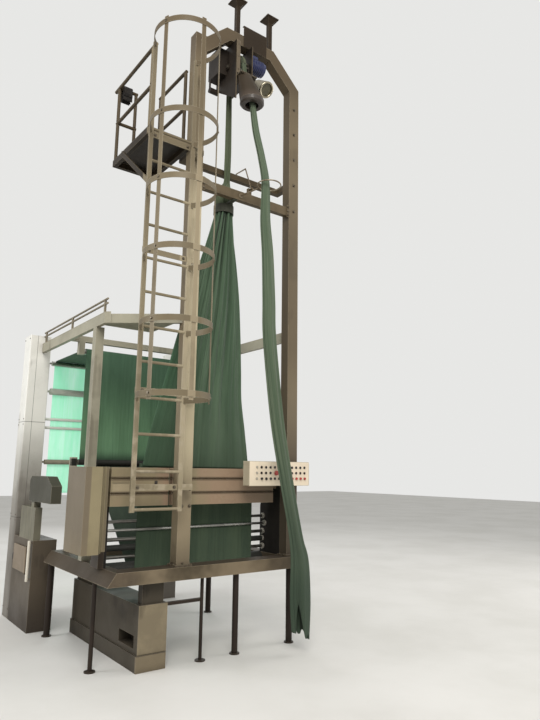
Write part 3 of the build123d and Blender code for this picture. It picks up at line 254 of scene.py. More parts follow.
soot = (0.075, 0.060, 0.042)
tower_cream = enamel(
    "tower_cream", coat=(0.238, 0.194, 0.128), soot=soot, under=(0.40, 0.34, 0.25),
    dirt=0.55, drips=0.35, marks=tower_light_and_shade,
)
dress(tower_cream, "tower_portal")
# The crown plate and the stays are brown paint, darkened further with painted shade under the ceiling.
crown_brown_and_shade = enamel(
    "crown_brown_and_shade", coat=(0.028, 0.0185, 0.010), soot=(0.018, 0.012, 0.008), under=(0.12, 0.09, 0.058),
    dirt=0.5, drips=0.3,
)
dress(crown_brown_and_shade, "crown_plate", "ceiling_stays")
foot_brown = enamel(
    "foot_brown", coat=(0.13, 0.105, 0.072), soot=(0.03, 0.024, 0.017), under=(0.26, 0.22, 0.16),
    dirt=0.7, drips=0.3,
)
dress(foot_brown, "foot_plates")


# Hexagon bolts on their washers, zinc plated and dulled by oil. One is modelled with its axis
# upright, then copied to each place and turned to the face that it is screwed into.
def bolt_zinc():
    material, shader, place = begin("dull_zinc", 0.42, 1.0)
    dull = step(mottle(place, 40, 4), 0.4, 0.68)
    feed(
        shader, Base_Color=blend(dull, (0.17, 0.145, 0.11), (0.065, 0.05, 0.035)),
        Roughness=0.36 + dull * 0.22, Normal=relief(mottle(place, 350, 3), 0.2, 0.0004),
    )
    return material


def pick(piece, wanted):
    """Goes to edit mode with only the wanted faces selected."""
    bpy.ops.object.mode_set(mode="EDIT")
    bpy.ops.mesh.select_mode(type="FACE")
    bpy.ops.mesh.select_all(action="DESELECT")
    bpy.ops.object.mode_set(mode="OBJECT")
    for face in piece.data.polygons:
        face.select = wanted(face)
    bpy.ops.object.mode_set(mode="EDIT")


def join(parts, name, finish):
    """Joins finished parts into one piece that rides on the machine."""
    bpy.ops.object.select_all(action="DESELECT")
    for one in parts:
        one.select_set(True)
    bpy.context.view_layer.objects.active = parts[0]
    if len(parts) > 1:
        bpy.ops.object.join()
    piece = bpy.context.object
    piece.name = name
    piece.data.name = name
    piece.data.materials.clear()
    piece.data.materials.append(finish)
    bpy.ops.object.shade_smooth_by_angle(angle=math.radians(32))
    piece.select_set(False)
    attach(piece, "machine")
    return piece


def hexagon_bolt():
    """A bolt head with its corners 1 m from its axis, on its washer, standing on z = 0."""
    bpy.ops.mesh.primitive_cylinder_add(vertices=20, radius=1.5, depth=0.3, location=(0, 0, 0.15))
    washer = bpy.context.object
    pick(washer, lambda face: face.normal.z > 0.9)
    bpy.ops.mesh.inset(thickness=0.08)
    bpy.ops.transform.translate(value=(0, 0, 0.06))
    bpy.ops.object.mode_set(mode="OBJECT")
    bpy.ops.mesh.primitive_cylinder_add(vertices=6, radius=1.0, depth=0.66, location=(0, 0, 0.66))
    head = bpy.context.object
    pick(head, lambda face: face.normal.z > 0.9)
    bpy.ops.mesh.inset(thickness=0.16)
    bpy.ops.transform.translate(value=(0, 0, 0.10))
    bpy.ops.object.mode_set(mode="OBJECT")
    for part in (washer, head):
        part.data.transform(part.matrix_world)
        part.matrix_world = Matrix.Identity(4)
    washer.select_set(True)
    head.select_set(True)
    bpy.ops.object.join()
    return bpy.context.object


bolt_model = hexagon_bolt()
zinc = bolt_zinc()


def bolts(name, radius, places):
    """Copies of the bolt at (x, y, z), each facing its own way and turned a little further round."""
    copies = []
    for k, (x, y, z, *facing) in enumerate(places):
        one = bpy.data.objects.new(f"{name}_{k}", bolt_model.data.copy())
        scene.collection.objects.link(one)
        turn = Vector(facing).to_track_quat("Z", "Y").to_matrix().to_4x4()
        spin = Matrix.Rotation(0.7 * k, 4, "Z")
        one.data.transform(Matrix.Translation((x, y, z)) @ turn @ spin @ Matrix.Scale(radius, 4))
        copies.append(one)
    return join(copies, name, zinc)


forwards, backwards, leftwards, rightwards = (0, -1, 0), (0, 1, 0), (-1, 0, 0), (1, 0, 0)
downwards, upwards = (0, 0, -1), (0, 0, 1)
post_front, right_post_x, stud_top = -0.995, 0.9875, 0.808
lowest_bolt, bolt_pitch = 4.31, 0.2975
bolts("right_post_bolts", 0.011, [
    (right_post_x, post_front, lowest_bolt + bolt_pitch * k, *forwards) for k in range(5)
])
bolts("left_post_bolts", 0.010, [
    (x, post_front, z, *forwards)
    for x, z in ((-0.227, 1.281), (-0.154, 1.425), (-0.232, 1.437), (-0.154, 1.281))
])
bolts("foot_bolts", 0.007, [
    (x, y, stud_top, *upwards)
    for x, y in ((-0.271, -0.935), (-0.139, -0.935), (-0.205, -1.0058), (1.061, -0.935), (0.995, -1.0058))
])


# Ladder of two flat stringers and round rungs, bracketed to the left post, with a cage of hoops
# and upright straps bolted to them. It is painted with the same cream, rubbed where hands go,
# with painted highlights on one stringer and one strap and painted shade towards the top.
def hand_wear_light_and_shade(place, paint):
    low = 1 - step(part_of(place, 2), 1.6, 2.8)
    worn = step(mottle(place, 9, 4), 0.45, 0.62) * low
    # Painted shade towards the top, and a painted highlight on the right-hand stringer.
    paint = blend(step(part_of(place, 2), 2.9, 4.3) * 0.60, paint, (0.140, 0.112, 0.072))
    lit = step(part_of(place, 0), -0.415, -0.395) * band(part_of(place, 2), 1.9, 3.9, 0.6)
    paint = blend(lit * 0.75, paint, (0.42, 0.36, 0.25))
    return blend(worn * 0.5, paint, (0.42, 0.36, 0.27))


def cage_light_and_shade(place, paint):
    height = part_of(place, 2)
    # A painted highlight on one upright strap, and painted shade towards the top.
    lit = band(part_of(place, 0), -0.567, -0.502, 0.004) * band(height, 1.9, 3.9, 0.6)
    paint = blend(lit * 0.6, paint, (0.36, 0.30, 0.205))
    return blend(step(height, 3.8, 5.3) * 0.75, paint, (0.098, 0.074, 0.046))


ladder_cream = enamel(
    "ladder_cream", coat=(0.252, 0.212, 0.140), soot=soot, under=(0.42, 0.37, 0.28),
    dirt=0.35, drips=0.2, rubbed=0.6, marks=hand_wear_light_and_shade,
)
dress(ladder_cream, "ladder")
cage_cream = enamel(
    "cage_cream", coat=(0.168, 0.136, 0.086), soot=soot, under=(0.42, 0.37, 0.28),
    dirt=0.3, drips=0.2, rubbed=0.6, marks=cage_light_and_shade,
)
dress(cage_cream, "ladder_cage")
cage_x, cage_y, cage_radius, strap_inside = -0.5345, -1.345, 0.300, -1.634
hoop_middles = (2.170, 2.760, 3.358, 3.955, 4.555, 5.405)
side_straps = [(math.cos(math.radians(angle)), math.sin(math.radians(angle))) for angle in (202, 338)]
bolts("cage_bolts", 0.008, [
    (cage_x + cage_radius * dx, cage_y + cage_radius * dy, z, dx, dy, 0)
    for z in hoop_middles for dx, dy in side_straps
] + [(cage_x, strap_inside, z, *backwards) for z in hoop_middles])
bracket_front = -1.1148
bolts("bracket_bolts", 0.009, [
    (x, bracket_front, z + 0.025, *forwards)
    for z in (1.420, 2.205, 3.420, 4.500) for x in (-0.700, -0.372)
])


# Work platform beside the head: chequer plate on a welded edge frame, its brace, and pipe rails
# with a light front rail. All of it is dull brown from oil mist.
def chequer():
    material, shader, place = begin("chequer_plate", 0.55, 0.2, 0.5)
    bars = place.node("TexWave", {"bands_direction": "DIAGONAL"}, {"Vector": place, "Scale": 28.0})
    cross = place.node("Mapping", None, {"Vector": place, "Rotation": (0, 0, math.radians(90))})
    other = cross.node("TexWave", {"bands_direction": "DIAGONAL"}, {"Vector": cross, "Scale": 28.0})
    raised = step(bars, 0.70, 0.85) + step(other, 0.78, 0.92)
    wear = step(mottle(place, 3, 5), 0.4, 0.7)
    feed(
        shader, Base_Color=blend(wear * 0.6, (0.017, 0.013, 0.010), (0.042, 0.032, 0.023)),
        Normal=relief(raised, 0.5, 0.0016), Roughness=0.50 + wear * 0.2,
    )
    return material


def pale_front_rail(place, paint):
    return blend((1 - step(part_of(place, 1), -0.985, -0.955)) * 0.85, paint, (0.225, 0.183, 0.118))


dress(chequer(), "platform_floor")
platform_cream = enamel(
    "platform_cream", coat=(0.024, 0.0165, 0.009), soot=(0.03, 0.022, 0.015), under=(0.22, 0.18, 0.12),
    dirt=0.6, drips=0.3, marks=pale_front_rail,
)
dress(platform_cream, "platform_frame")
rail_brown = enamel(
    "rail_brown", coat=(0.076, 0.057, 0.034), soot=(0.028, 0.021, 0.014), under=(0.20, 0.16, 0.105),
    dirt=0.5, drips=0.2, marks=pale_front_rail,
)
dress(rail_brown, "platform_rails")


# Crossbeams of the tower: a folded channel in front with its bolted cleats, and a square bar
# behind. Both are brown with old oil, as are the ring guide and the knot lever on them.
beam_brown = enamel(
    "beam_brown", coat=(0.128, 0.098, 0.060), soot=(0.032, 0.024, 0.015), under=(0.22, 0.175, 0.115),
    dirt=0.5, drips=0.3,
)
dress(beam_brown, "front_crossbeam")
bar_brown = enamel(
    "bar_brown", coat=(0.078, 0.058, 0.034), soot=(0.024, 0.018, 0.012), under=(0.16, 0.125, 0.08),
    dirt=0.5, drips=0.3,
)
dress(bar_brown, "rear_crossbeam")
cleat_front = -1.000
bolts("cleat_bolts", 0.009, [
    (x, cleat_front, z, *forwards) for x in (-0.120, 0.910) for z in (4.250, 4.293, 4.337)
])


def bare_rod(name, tone, rust_tone):
    """A bent round bar, bare steel worn bright by cloth and rusty elsewhere."""
    material, shader, place = begin(name, 0.45, 0.75)
    rusty = step(mottle(place, 11, 5), 0.42, 0.64)
    feed(
        shader, Base_Color=blend(rusty * 0.8, tone, rust_tone), Roughness=0.34 + rusty * 0.3,
        Normal=relief(mottle(place, 180, 3), 0.2, 0.0006),
    )
    return material


dress(bare_rod("guide_rod", (0.38, 0.325, 0.24), (0.13, 0.092, 0.055)), "ring_guide")
dress(bare_rod("lever_rod", (0.15, 0.115, 0.072), (0.06, 0.041, 0.024)), "knot_lever")


# Head cheeks: two thick plates hung under the crown with the drive box and its drum on the
# left one. They are black with oil and lint, and only their front edges are rubbed pale.
def rubbed_front_edge(place, paint):
    return blend((1 - step(part_of(place, 1), -1.052, -1.040)) * 0.7, paint, (0.165, 0.128, 0.083))


head_black = enamel(
    "head_black", coat=(0.026, 0.020, 0.0155), soot=(0.009, 0.007, 0.006), under=(0.10, 0.078, 0.054),
    dirt=0.6, drips=0.5, rubbed=0.5, marks=rubbed_front_edge,
)
dress(head_black, "reel_cheeks")


# Flange down the front edge of the left cheek: a folded steel strip, bent back at one side and
# screwed on. It keeps lint off the reel and is rubbed pale.
def folded_strip(name, wide, high, lip, sheet, round_off):
    """A strip standing on z = 0 from x = 0, its front at y = 0, its right side bent back."""
    bpy.ops.mesh.primitive_plane_add(size=1, location=(0, 0, 0), rotation=(math.radians(90), 0, 0))
    strip = bpy.context.object
    bpy.ops.object.transform_apply(location=True, rotation=True, scale=True)
    for point in strip.data.vertices:
        point.co = ((point.co.x + 0.5) * wide, 0, (point.co.z + 0.5) * high)
    bpy.ops.object.mode_set(mode="EDIT")
    bpy.ops.mesh.select_mode(type="EDGE")
    bpy.ops.mesh.select_all(action="DESELECT")
    bpy.ops.object.mode_set(mode="OBJECT")
    for edge in strip.data.edges:
        edge.select = all(strip.data.vertices[v].co.x > wide * 0.9 for v in edge.vertices)
    bpy.ops.object.mode_set(mode="EDIT")
    bpy.ops.mesh.extrude_edges_move(TRANSFORM_OT_translate={"value": (0, lip, 0)})
    bpy.ops.object.mode_set(mode="OBJECT")
    for kind, settings in (
        ("SOLIDIFY", {"thickness": sheet, "offset": -1}),
        ("BEVEL", {"width": round_off, "segments": 3, "limit_method": "ANGLE"}),
    ):
        modifier = strip.modifiers.new(kind.lower(), kind)
        for key, value in settings.items():
            setattr(modifier, key, value)
        bpy.ops.object.modifier_apply(modifier=modifier.name)
    bpy.ops.object.mode_set(mode="EDIT")
    bpy.ops.mesh.select_all(action="SELECT")
    bpy.ops.mesh.normals_make_consistent(inside=False)
    bpy.ops.object.mode_set(mode="OBJECT")
    strip.name = name
    return strip


cheek_front, flange_left, flange_foot = -1.0592, 0.182, 5.580
flange = folded_strip("cheek_flange", wide=0.042, high=0.372, lip=0.010, sheet=0.004, round_off=0.0012)
flange_front = min(point.co.y for point in flange.data.vertices)
flange.data.transform(Matrix.Translation((flange_left, cheek_front - flange_front, flange_foot)))
flange_buff = enamel(
    "flange_buff", coat=(0.135, 0.106, 0.072), soot=(0.03, 0.023, 0.016), under=(0.26, 0.22, 0.16),
    dirt=0.5, drips=0.3,
)
join([flange], "cheek_flange", flange_buff)
bolts("flange_screws", 0.005, [(0.203, cheek_front, z, *forwards) for z in (5.62, 5.765, 5.91)])


# Drive reel: a ring of round slats between two discs on a shaft, of bare steel that the cloth
# polishes, and the rollers of the slitter and the web, which are of the same ground steel.
reel_y, reel_z = -0.905, 5.72


def bright_metal(name, tone, roughness, grain):
    """Ground steel, its fine lines drawn along the roller, dulled in patches."""
    material, shader, place = begin(name, roughness, 1.0)
    lines = mottle(place, 1.0, 4, grain)
    dull = step(mottle(place, 7, 5), 0.42, 0.68)
    feed(
        shader, Base_Color=blend(dull * 0.6, tone, tuple(c * 0.55 for c in tone)),
        Roughness=roughness - 0.08 + lines * 0.14 + dull * 0.14, Normal=relief(lines, 0.12, 0.0008),
    )
    return material


dress(bright_metal("oiled_steel", (0.17, 0.15, 0.12), roughness=0.40, grain=(6, 200, 200)), "drive_reel")
# The same ground steel in two copies: a lighter one as painted highlight on the bright roller across the
# window and the top rollers, a darker one as painted shade on the other rollers.
dress(
    bright_metal("ground_steel_lit", (0.50, 0.495, 0.46), roughness=0.28, grain=(6, 260, 260)),
    "window_roller_1", "top_roller", "far_roller_top",
)
dress(
    bright_metal("ground_steel_shaded", (0.26, 0.25, 0.225), roughness=0.34, grain=(6, 260, 260)),
    "window_roller_2", "window_roller_3", "window_roller_5",
)


# Gear housing on the right cheek, cast and painted long ago, with the blue geared motor on it.
# The motor is a ribbed barrel with a terminal box; its gloss paint is dulled on top by lint.
def moulding(name, tone, roughness=0.4, coat=0.0, dusty=0.0):
    """Plain moulded or sprayed finish, with as much lint dust on its upper side as dusty says."""
    material, shader, place = begin(name, roughness, 0.0, 0.5, coat)
    dull = step(mottle(place, 14, 5), 0.35, 0.7)
    paint = blend(dull * 0.5, tone, tuple(c * 0.7 + 0.006 for c in tone))
    if dusty:
        facing = Shade(place.tree, place.tree.nodes.new("ShaderNodeNewGeometry").outputs["Normal"])
        lying = part_of(facing, 2) + mottle(place, 20, 4) * 0.4
        paint = blend(step(lying, 0.55, 1.0) * dusty, paint, (0.10, 0.09, 0.075))
    feed(
        shader, Base_Color=paint, Roughness=roughness + dull * 0.2,
        Normal=relief(mottle(place, 300, 2), 0.1, 0.0004),
    )
    return material


housing_grey = enamel(
    "housing_grey", coat=(0.085, 0.068, 0.047), soot=(0.03, 0.025, 0.02), under=(0.30, 0.26, 0.2),
    dirt=0.6, drips=0.3, rubbed=0.7,
)
dress(housing_grey, "gear_housing")
dress(moulding("motor_blue", (0.011, 0.017, 0.075), roughness=0.30, coat=0.35, dusty=0.5), "reel_motor")
housing_side, bolt_ring = 0.3944, 0.044
bolts("housing_bolts", 0.007, [
    (housing_side, reel_y + bolt_ring * math.cos(turn), reel_z + bolt_ring * math.sin(turn), *rightwards)
    for turn in (3.4, 4.3, 5.2, 6.1)
])


# Funnel and turning eye under the reel: a tapered cast body with a square mouth, bolted from
# below, and a turned ring with a rounded throat that turns as the rope untwists.
def darker_below(place, paint):
    return blend(1 - step(part_of(place, 2), 5.27, 5.36), paint, (0.060, 0.045, 0.034))


funnel_grey = enamel(
    "funnel_grey", coat=(0.042, 0.031, 0.020), soot=(0.035, 0.027, 0.019), under=(0.27, 0.23, 0.17),
    dirt=0.6, drips=0.45, marks=darker_below,
)
dress(funnel_grey, "rope_funnel")
dress(moulding("eye_brown", (0.034, 0.024, 0.017), roughness=0.42, coat=0.2), "turning_eye")
funnel_flange = 5.548
bolts("funnel_bolts", 0.008, [
    (x, y, funnel_flange, *downwards) for x in (0.212, 0.355) for y in (-1.122, -1.004)
])


# Work lamp beside the funnel: a spun aluminium shade on the housing's arm. A thick rolled rim,
# polished, holds the glass, which is unlit and dark; the rim is modelled here over the shade.
lamp_front = Vector((0.494, -1.145, 5.462))
lamp_aim = Vector((0.12, -0.72, -0.68)).normalized()
rim_radius, rim_width, rim_depth, rim_rounding, rim_ahead = 0.0838, 0.020, 0.022, 0.0072, 0.002


def spun_aluminium(name, tone, roughness):
    material, shader, place = begin(name, roughness, 1.0)
    haze = step(mottle(place, 12, 4), 0.4, 0.7)
    feed(
        shader, Base_Color=blend(haze * 0.5, tone, tuple(c * 0.66 for c in tone)),
        Roughness=roughness + haze * 0.12, Normal=relief(mottle(place, 90, 3), 0.08, 0.0006),
    )
    return material


def dark_glass():
    material, shader, place = begin("lamp_glass_dark", 0.10, 0.0, 0.6, 0.5)
    ribs = place.node("TexWave", {"bands_direction": "X"}, {"Vector": place, "Scale": 22.0})
    haze = step(mottle(place, 16, 3), 0.4, 0.65)
    feed(
        shader, Base_Color=blend(haze, (0.055, 0.048, 0.022), (0.095, 0.082, 0.042)),
        Normal=relief(ribs, 0.2, 0.0012),
    )
    return material


dress(moulding("lamp_silver", (0.33, 0.305, 0.245), roughness=0.34, coat=0.2, dusty=0.4), "work_lamp")
dress(dark_glass(), "lamp_glass")
bpy.ops.mesh.primitive_cylinder_add(vertices=72, radius=rim_radius, depth=rim_depth, location=(0, 0, 0))
lamp_rim = bpy.context.object
pick(lamp_rim, lambda face: abs(face.normal.z) > 0.9)
bpy.ops.mesh.inset(thickness=rim_width)
bpy.ops.mesh.bridge_edge_loops()
bpy.ops.object.mode_set(mode="OBJECT")
rounding = lamp_rim.modifiers.new("rolled", "BEVEL")
rounding.width = rim_rounding
rounding.segments = 5
rounding.limit_method = "ANGLE"
rounding.angle_limit = math.radians(40)
bpy.ops.object.modifier_apply(modifier="rolled")
rim_turn = lamp_aim.to_track_quat("Z", "Y").to_matrix().to_4x4()
lamp_rim.data.transform(Matrix.Translation(lamp_front + lamp_aim * rim_ahead) @ rim_turn)
rim_chrome = spun_aluminium("rim_chrome", (0.46, 0.41, 0.31), roughness=0.20)
join([lamp_rim], "lamp_rim", rim_chrome)


# The cloth is a knitted tube as wide as the window when it lies flat. Gathered into a rope it
# comes up from the floor, through the ring, the eye and the funnel and over the reel. Its folds
# run along it, greyer and darker towards the floor and browner near the reel.
def knit(name, shade, bright, dull, *tints, lines=0.6):
    """Knitted cloth, with painted shade in its creases and where it is enclosed, and thin painted highlight
    lines; each tint is (axis, from, to, amount, tone) and lies over the folds.
    """
    material, shader, place = begin(name, 0.88, specular=0.18)
    shader.inputs["Sheen Weight"].default_value = 0.10
    shader.inputs["Sheen Roughness"].default_value = 0.5
    laid = Shade(place.tree, place.tree.nodes.new("ShaderNodeUVMap").outputs["UV"])
    creases = mottle(laid, 1.0, 5, (24, 1.1, 1))
    soft = mottle(laid, 1.0, 4, (5, 0.7, 1))
    green = blend(step(soft, 0.36, 0.66), shade, bright)
    # Painted shade along the creases.
    green = blend(step(creases, 0.52, 0.72) * 0.55, green, dull)
    thin = mottle(laid, 1.0, 3, (44, 0.42, 1))
    # Thin dark lines are painted fold shade, thin light lines painted highlights on the ridges.
    green = blend(step(thin, 0.57, 0.66) * lines, green, tuple(c * 0.42 for c in shade))
    green = blend(step(thin, 0.43, 0.34) * lines * 0.7, green, tuple(c * 1.30 for c in bright))
    for axis, low, high, amount, tone in tints:
        green = blend(step(part_of(place, axis), low, high) * amount, green, tone)
    # Painted shade where neighbouring surfaces enclose the cloth.
    hollow_shade = place.node("AmbientOcclusion", {"samples": 6}, {"Distance": 0.07}, 1)
    green = blend((1 - step(hollow_shade, 0.25, 0.9)) * 0.75, green, tuple(c * 0.30 for c in shade))
    wales, courses = (
        laid.node(
            "TexWave", {"bands_direction": way},
            {"Vector": laid, "Scale": scale, "Distortion": wander},
        )
        for way, scale, wander in (("X", 90.0, 0.6), ("Y", 120.0, 0.4))
    )
    height = creases * 6 + wales * 0.35 + courses * 0.25
    feed(shader, Base_Color=green, Normal=relief(height, 0.5, 0.0022), Roughness=0.80 + creases * 0.15)
    return material


def along(stations, share):
    """A station between the given ones, on a smooth line through them."""
    place = share * (len(stations) - 1)
    i = min(int(place), len(stations) - 2)
    t = place - i
    a, b, c, d = (stations[min(max(i + k, 0), len(stations) - 1)] for k in (-1, 0, 1, 2))
    return [
        0.5 * (2 * q + (r - p) * t + (2 * p - 5 * q + 4 * r - s) * t * t + (3 * q - p - 3 * r + s) * t ** 3)
        for p, q, r, s in zip(a, b, c, d)
    ]


def sewn(mesh, name, finish, thickness, offset):
    """Makes a piece of a cloth surface, with its wall and its body. Gives the surface's area too."""
    piece = bpy.data.objects.new(name, bpy.data.meshes.new(name))
    area = sum(face.calc_area() for face in mesh.faces)
    mesh.to_mesh(piece.data)
    mesh.free()
    scene.collection.objects.link(piece)
    piece.data.materials.append(finish)
    wall = piece.modifiers.new("wall", "SOLIDIFY")
    wall.thickness = thickness
    wall.offset = offset
    bpy.context.view_layer.objects.active = piece
    bpy.ops.object.modifier_apply(modifier="wall")
    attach(piece, "machine")
    return piece, area


cloth_girth, cloth_wall = 2.4, 0.0016
ragged_from, ragged_share = 0.86, 0.14


def gathered(name, stations, columns, rows, pleats, seed, finish, ragged=()):
    """A tube of cloth hung through stations (x, y, z, half width, half depth). Each pleat is
    (how many round the tube, depth at the top, depth at the foot, sharpness). Each ragged row
    lifts the lower edge: (where in turns, how wide in turns, how high). The knit is laid on as for
    a tube cloth_girth round."""
    luck = random.Random(seed)
    waves = [
        [(luck.uniform(0.6, 1.0), luck.uniform(0, 6.28), luck.choice((1, 2, 3))) for _ in range(3)]
        for _ in pleats
    ]
    mesh = bmesh.new()
    laid = mesh.loops.layers.uv.new("cloth")
    rings, lengths = [], [0.0]
    turns = [2 * math.pi * k / 360 for k in range(361)]
    for row in range(rows + 1):
        share = row / rows
        x, y, z, wide, deep = along(stations, share)
        before = Vector(along(stations, max(share - 0.002, 0))[:3])
        after = Vector(along(stations, min(share + 0.002, 1))[:3])
        fall = (after - before).normalized()
        across = (Vector((1, 0, 0)) - fall * fall.x).normalized()
        back = fall.cross(across)
        outline = [(wide * math.cos(a), deep * math.sin(a)) for a in turns]
        walked = [0.0]
        for p, q in zip(outline, outline[1:]):
            walked.append(walked[-1] + math.dist(p, q))
        girth = walked[-1]
        short = max(0.0, (share - ragged_from) / ragged_share) ** 2
        ring, k = [], 0
        for column in range(columns):
            u = column / columns
            while walked[k + 1] < u * girth:
                k += 1
            t = (u * girth - walked[k]) / (walked[k + 1] - walked[k])
            a = turns[k] + t * (turns[k + 1] - turns[k])
            out = Vector((deep * math.cos(a), wide * math.sin(a))).normalized()
            sunk = 0.0
            for (count, top, foot, sharp), wave in zip(pleats, waves):
                warp = sum(m * math.sin(n * 2 * math.pi * u + p + 0.9 * share * n) for m, p, n in wave)
                swell = 0.55 + 0.45 * math.sin(2 * math.pi * u * 2 + wave[0][1] + 2.2 * share)
                ridge = 0.5 - 0.5 * math.cos(2 * math.pi * count * u + warp * count * 0.16 + wave[1][1])
                sunk += (top + (foot - top) * share) * swell * ridge ** sharp
            px = wide * math.cos(a) - out.x * min(sunk, 0.8 * wide)
            py = deep * math.sin(a) - out.y * min(sunk, 0.62 * deep)
            lift = short * sum(high * math.exp(-(((u - at) / spread) ** 2)) for at, spread, high in ragged)
            ring.append(mesh.verts.new(Vector((x, y, z + lift)) + across * px + back * py))
        if rings:
            lengths.append(lengths[-1] + (Vector((x, y, z)) - last).length)
        last = Vector((x, y, z))
        rings.append(ring)
    for row in range(rows):
        for column in range(columns):
            beside = (column + 1) % columns
            above, below = rings[row], rings[row + 1]
            face = mesh.faces.new((above[column], below[column], below[beside], above[beside]))
            face.smooth = True
            us = (column, column, column + 1, column + 1)
            vs = (lengths[row], lengths[row + 1], lengths[row + 1], lengths[row])
            for loop, u, v in zip(face.loops, us, vs):
                loop[laid].uv = (cloth_girth * u / columns, v)
    bmesh.ops.recalc_face_normals(mesh, faces=mesh.faces)
    piece, _ = sewn(mesh, name, finish, cloth_wall, -1)
    return piece


rope_green = knit(
    "rope_green", (0.066, 0.087, 0.048), (0.100, 0.120, 0.070), (0.050, 0.064, 0.036),
    (2, 4.6, 5.6, 0.55, (0.062, 0.064, 0.036)),
)
rope_x, over_reel = 0.279, 0.1333
reel_turns = [math.radians(angle) for angle in range(0, 181, 20)]
drop = gathered(
    "drop_rope_cloth",
    [
        (rope_x, reel_y - over_reel * math.cos(turn), reel_z + over_reel * math.sin(turn), 0.031, 0.0228)
        for turn in reel_turns
    ] + [
        (0.281, -0.7705, 5.45, 0.033, 0.025), (0.284, -0.769, 5.16, 0.035, 0.028),
        (0.286, -0.769, 4.881, 0.037, 0.030), (0.283, -0.769, 4.68, 0.037, 0.033),
        (0.279, -0.769, 4.50, 0.037, 0.035), (0.256, -0.769, 4.386, 0.086, 0.086),
        (0.252, -0.769, 4.2355, 0.0945, 0.0945),
    ],
    columns=150, rows=210, pleats=[(13, 0.006, 0.009, 1.6), (5, 0.010, 0.012, 1.8)],
    seed=9, finish=rope_green,
)
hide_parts("drop_rope")

floor_green = knit(
    "floor_rope_green", (0.072, 0.104, 0.065), (0.108, 0.140, 0.092), (0.054, 0.074, 0.048),
    (2, 4.9, 5.6, 0.5, (0.072, 0.078, 0.046)), (2, 1.9, 0.9, 0.75, (0.050, 0.072, 0.050)),
    (2, 0.85, 0.5, 0.45, (0.026, 0.044, 0.030)),
)
feed_rope = gathered(
    "infeed_rope_cloth",
    [
        (0.279, -1.0383, 5.7195, 0.031, 0.0228), (0.287, -1.0603, 5.56, 0.031, 0.023),
        (0.302, -1.103, 5.41, 0.031, 0.027), (0.319, -1.145, 5.262, 0.031, 0.031),
        (0.339, -1.195, 4.918, 0.040, 0.033), (0.378, -1.245, 4.618, 0.042, 0.036),
        (0.395, -1.295, 4.325, 0.046, 0.041), (0.394, -1.305, 3.947, 0.059, 0.044),
        (0.422, -1.313, 3.610, 0.068, 0.047), (0.437, -1.325, 3.148, 0.076, 0.049),
        (0.446, -1.325, 2.853, 0.078, 0.050), (0.494, -1.325, 2.433, 0.079, 0.051),
        (0.558, -1.325, 1.991, 0.078, 0.051), (0.650, -1.325, 1.550, 0.075, 0.052),
        (0.744, -1.325, 1.142, 0.073, 0.053), (0.784, -1.325, 0.961, 0.080, 0.058),
        (0.826, -1.325, 0.780, 0.108, 0.066), (0.836, -1.325, 0.448, 0.124, 0.072),
        (0.838, -1.325, 0.122, 0.108, 0.064),
    ],
    columns=160, rows=300,
    pleats=[(3, 0.008, 0.046, 2.2), (7, 0.014, 0.026, 1.8), (15, 0.006, 0.010, 1.2)],
    seed=23, finish=floor_green,
    ragged=((0.37, 0.07, 0.30), (0.62, 0.14, 0.10), (0.20, 0.03, 0.05), (0.85, 0.05, 0.06)),
)
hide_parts("infeed_rope")


# Below the dark rubber ring round its collar the tube opens into a pleated cone, which ends
# flat behind the tray covers. Deep pleats hang from the ring and fade out towards the foot.
dress(moulding("ring_rubber", (0.032, 0.034, 0.020), roughness=0.6), "cone_ring")
# Its left side is a more saturated green, painted as light coming through the cloth, and it is lighter
# towards the foot.
cone_green = knit(
    "cone_green", (0.056, 0.096, 0.058), (0.088, 0.138, 0.086), (0.040, 0.064, 0.042),
    (0, 0.02, -0.30, 0.55, (0.040, 0.115, 0.060)), (2, 2.6, 1.7, 0.35, (0.085, 0.120, 0.080)),
)
cone = gathered(
    "pleated_cone",
    [
        (0.252, -0.769, 4.2345, 0.0945, 0.0945), (0.252, -0.769, 4.150, 0.0945, 0.0945),
        (0.245, -0.758, 3.93, 0.140, 0.094), (0.233, -0.743, 3.62, 0.213, 0.092),
        (0.219, -0.727, 3.296, 0.280, 0.088), (0.196, -0.705, 2.95, 0.345, 0.078),
        (0.170, -0.683, 2.60, 0.405, 0.068), (0.147, -0.665, 2.274, 0.455, 0.058),
        (0.144, -0.640, 1.95, 0.523, 0.042), (0.1415, -0.625, 1.6102, 0.580, 0.028),
    ],
    columns=440, rows=108,
    pleats=[(37, 0.015, 0.003, 2.6), (17, 0.034, 0.006, 2.6), (7, 0.040, 0.012, 1.6)],
    seed=4, finish=cone_green,
)
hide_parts("spread_cone")


# Open web at the slitting window: the same cloth, flat and under tension, so it shows only long
# faint creases. It runs down the window, round the rubber turn roller and up to the bar.
pitch, web_wall = 0.035, 0.0014


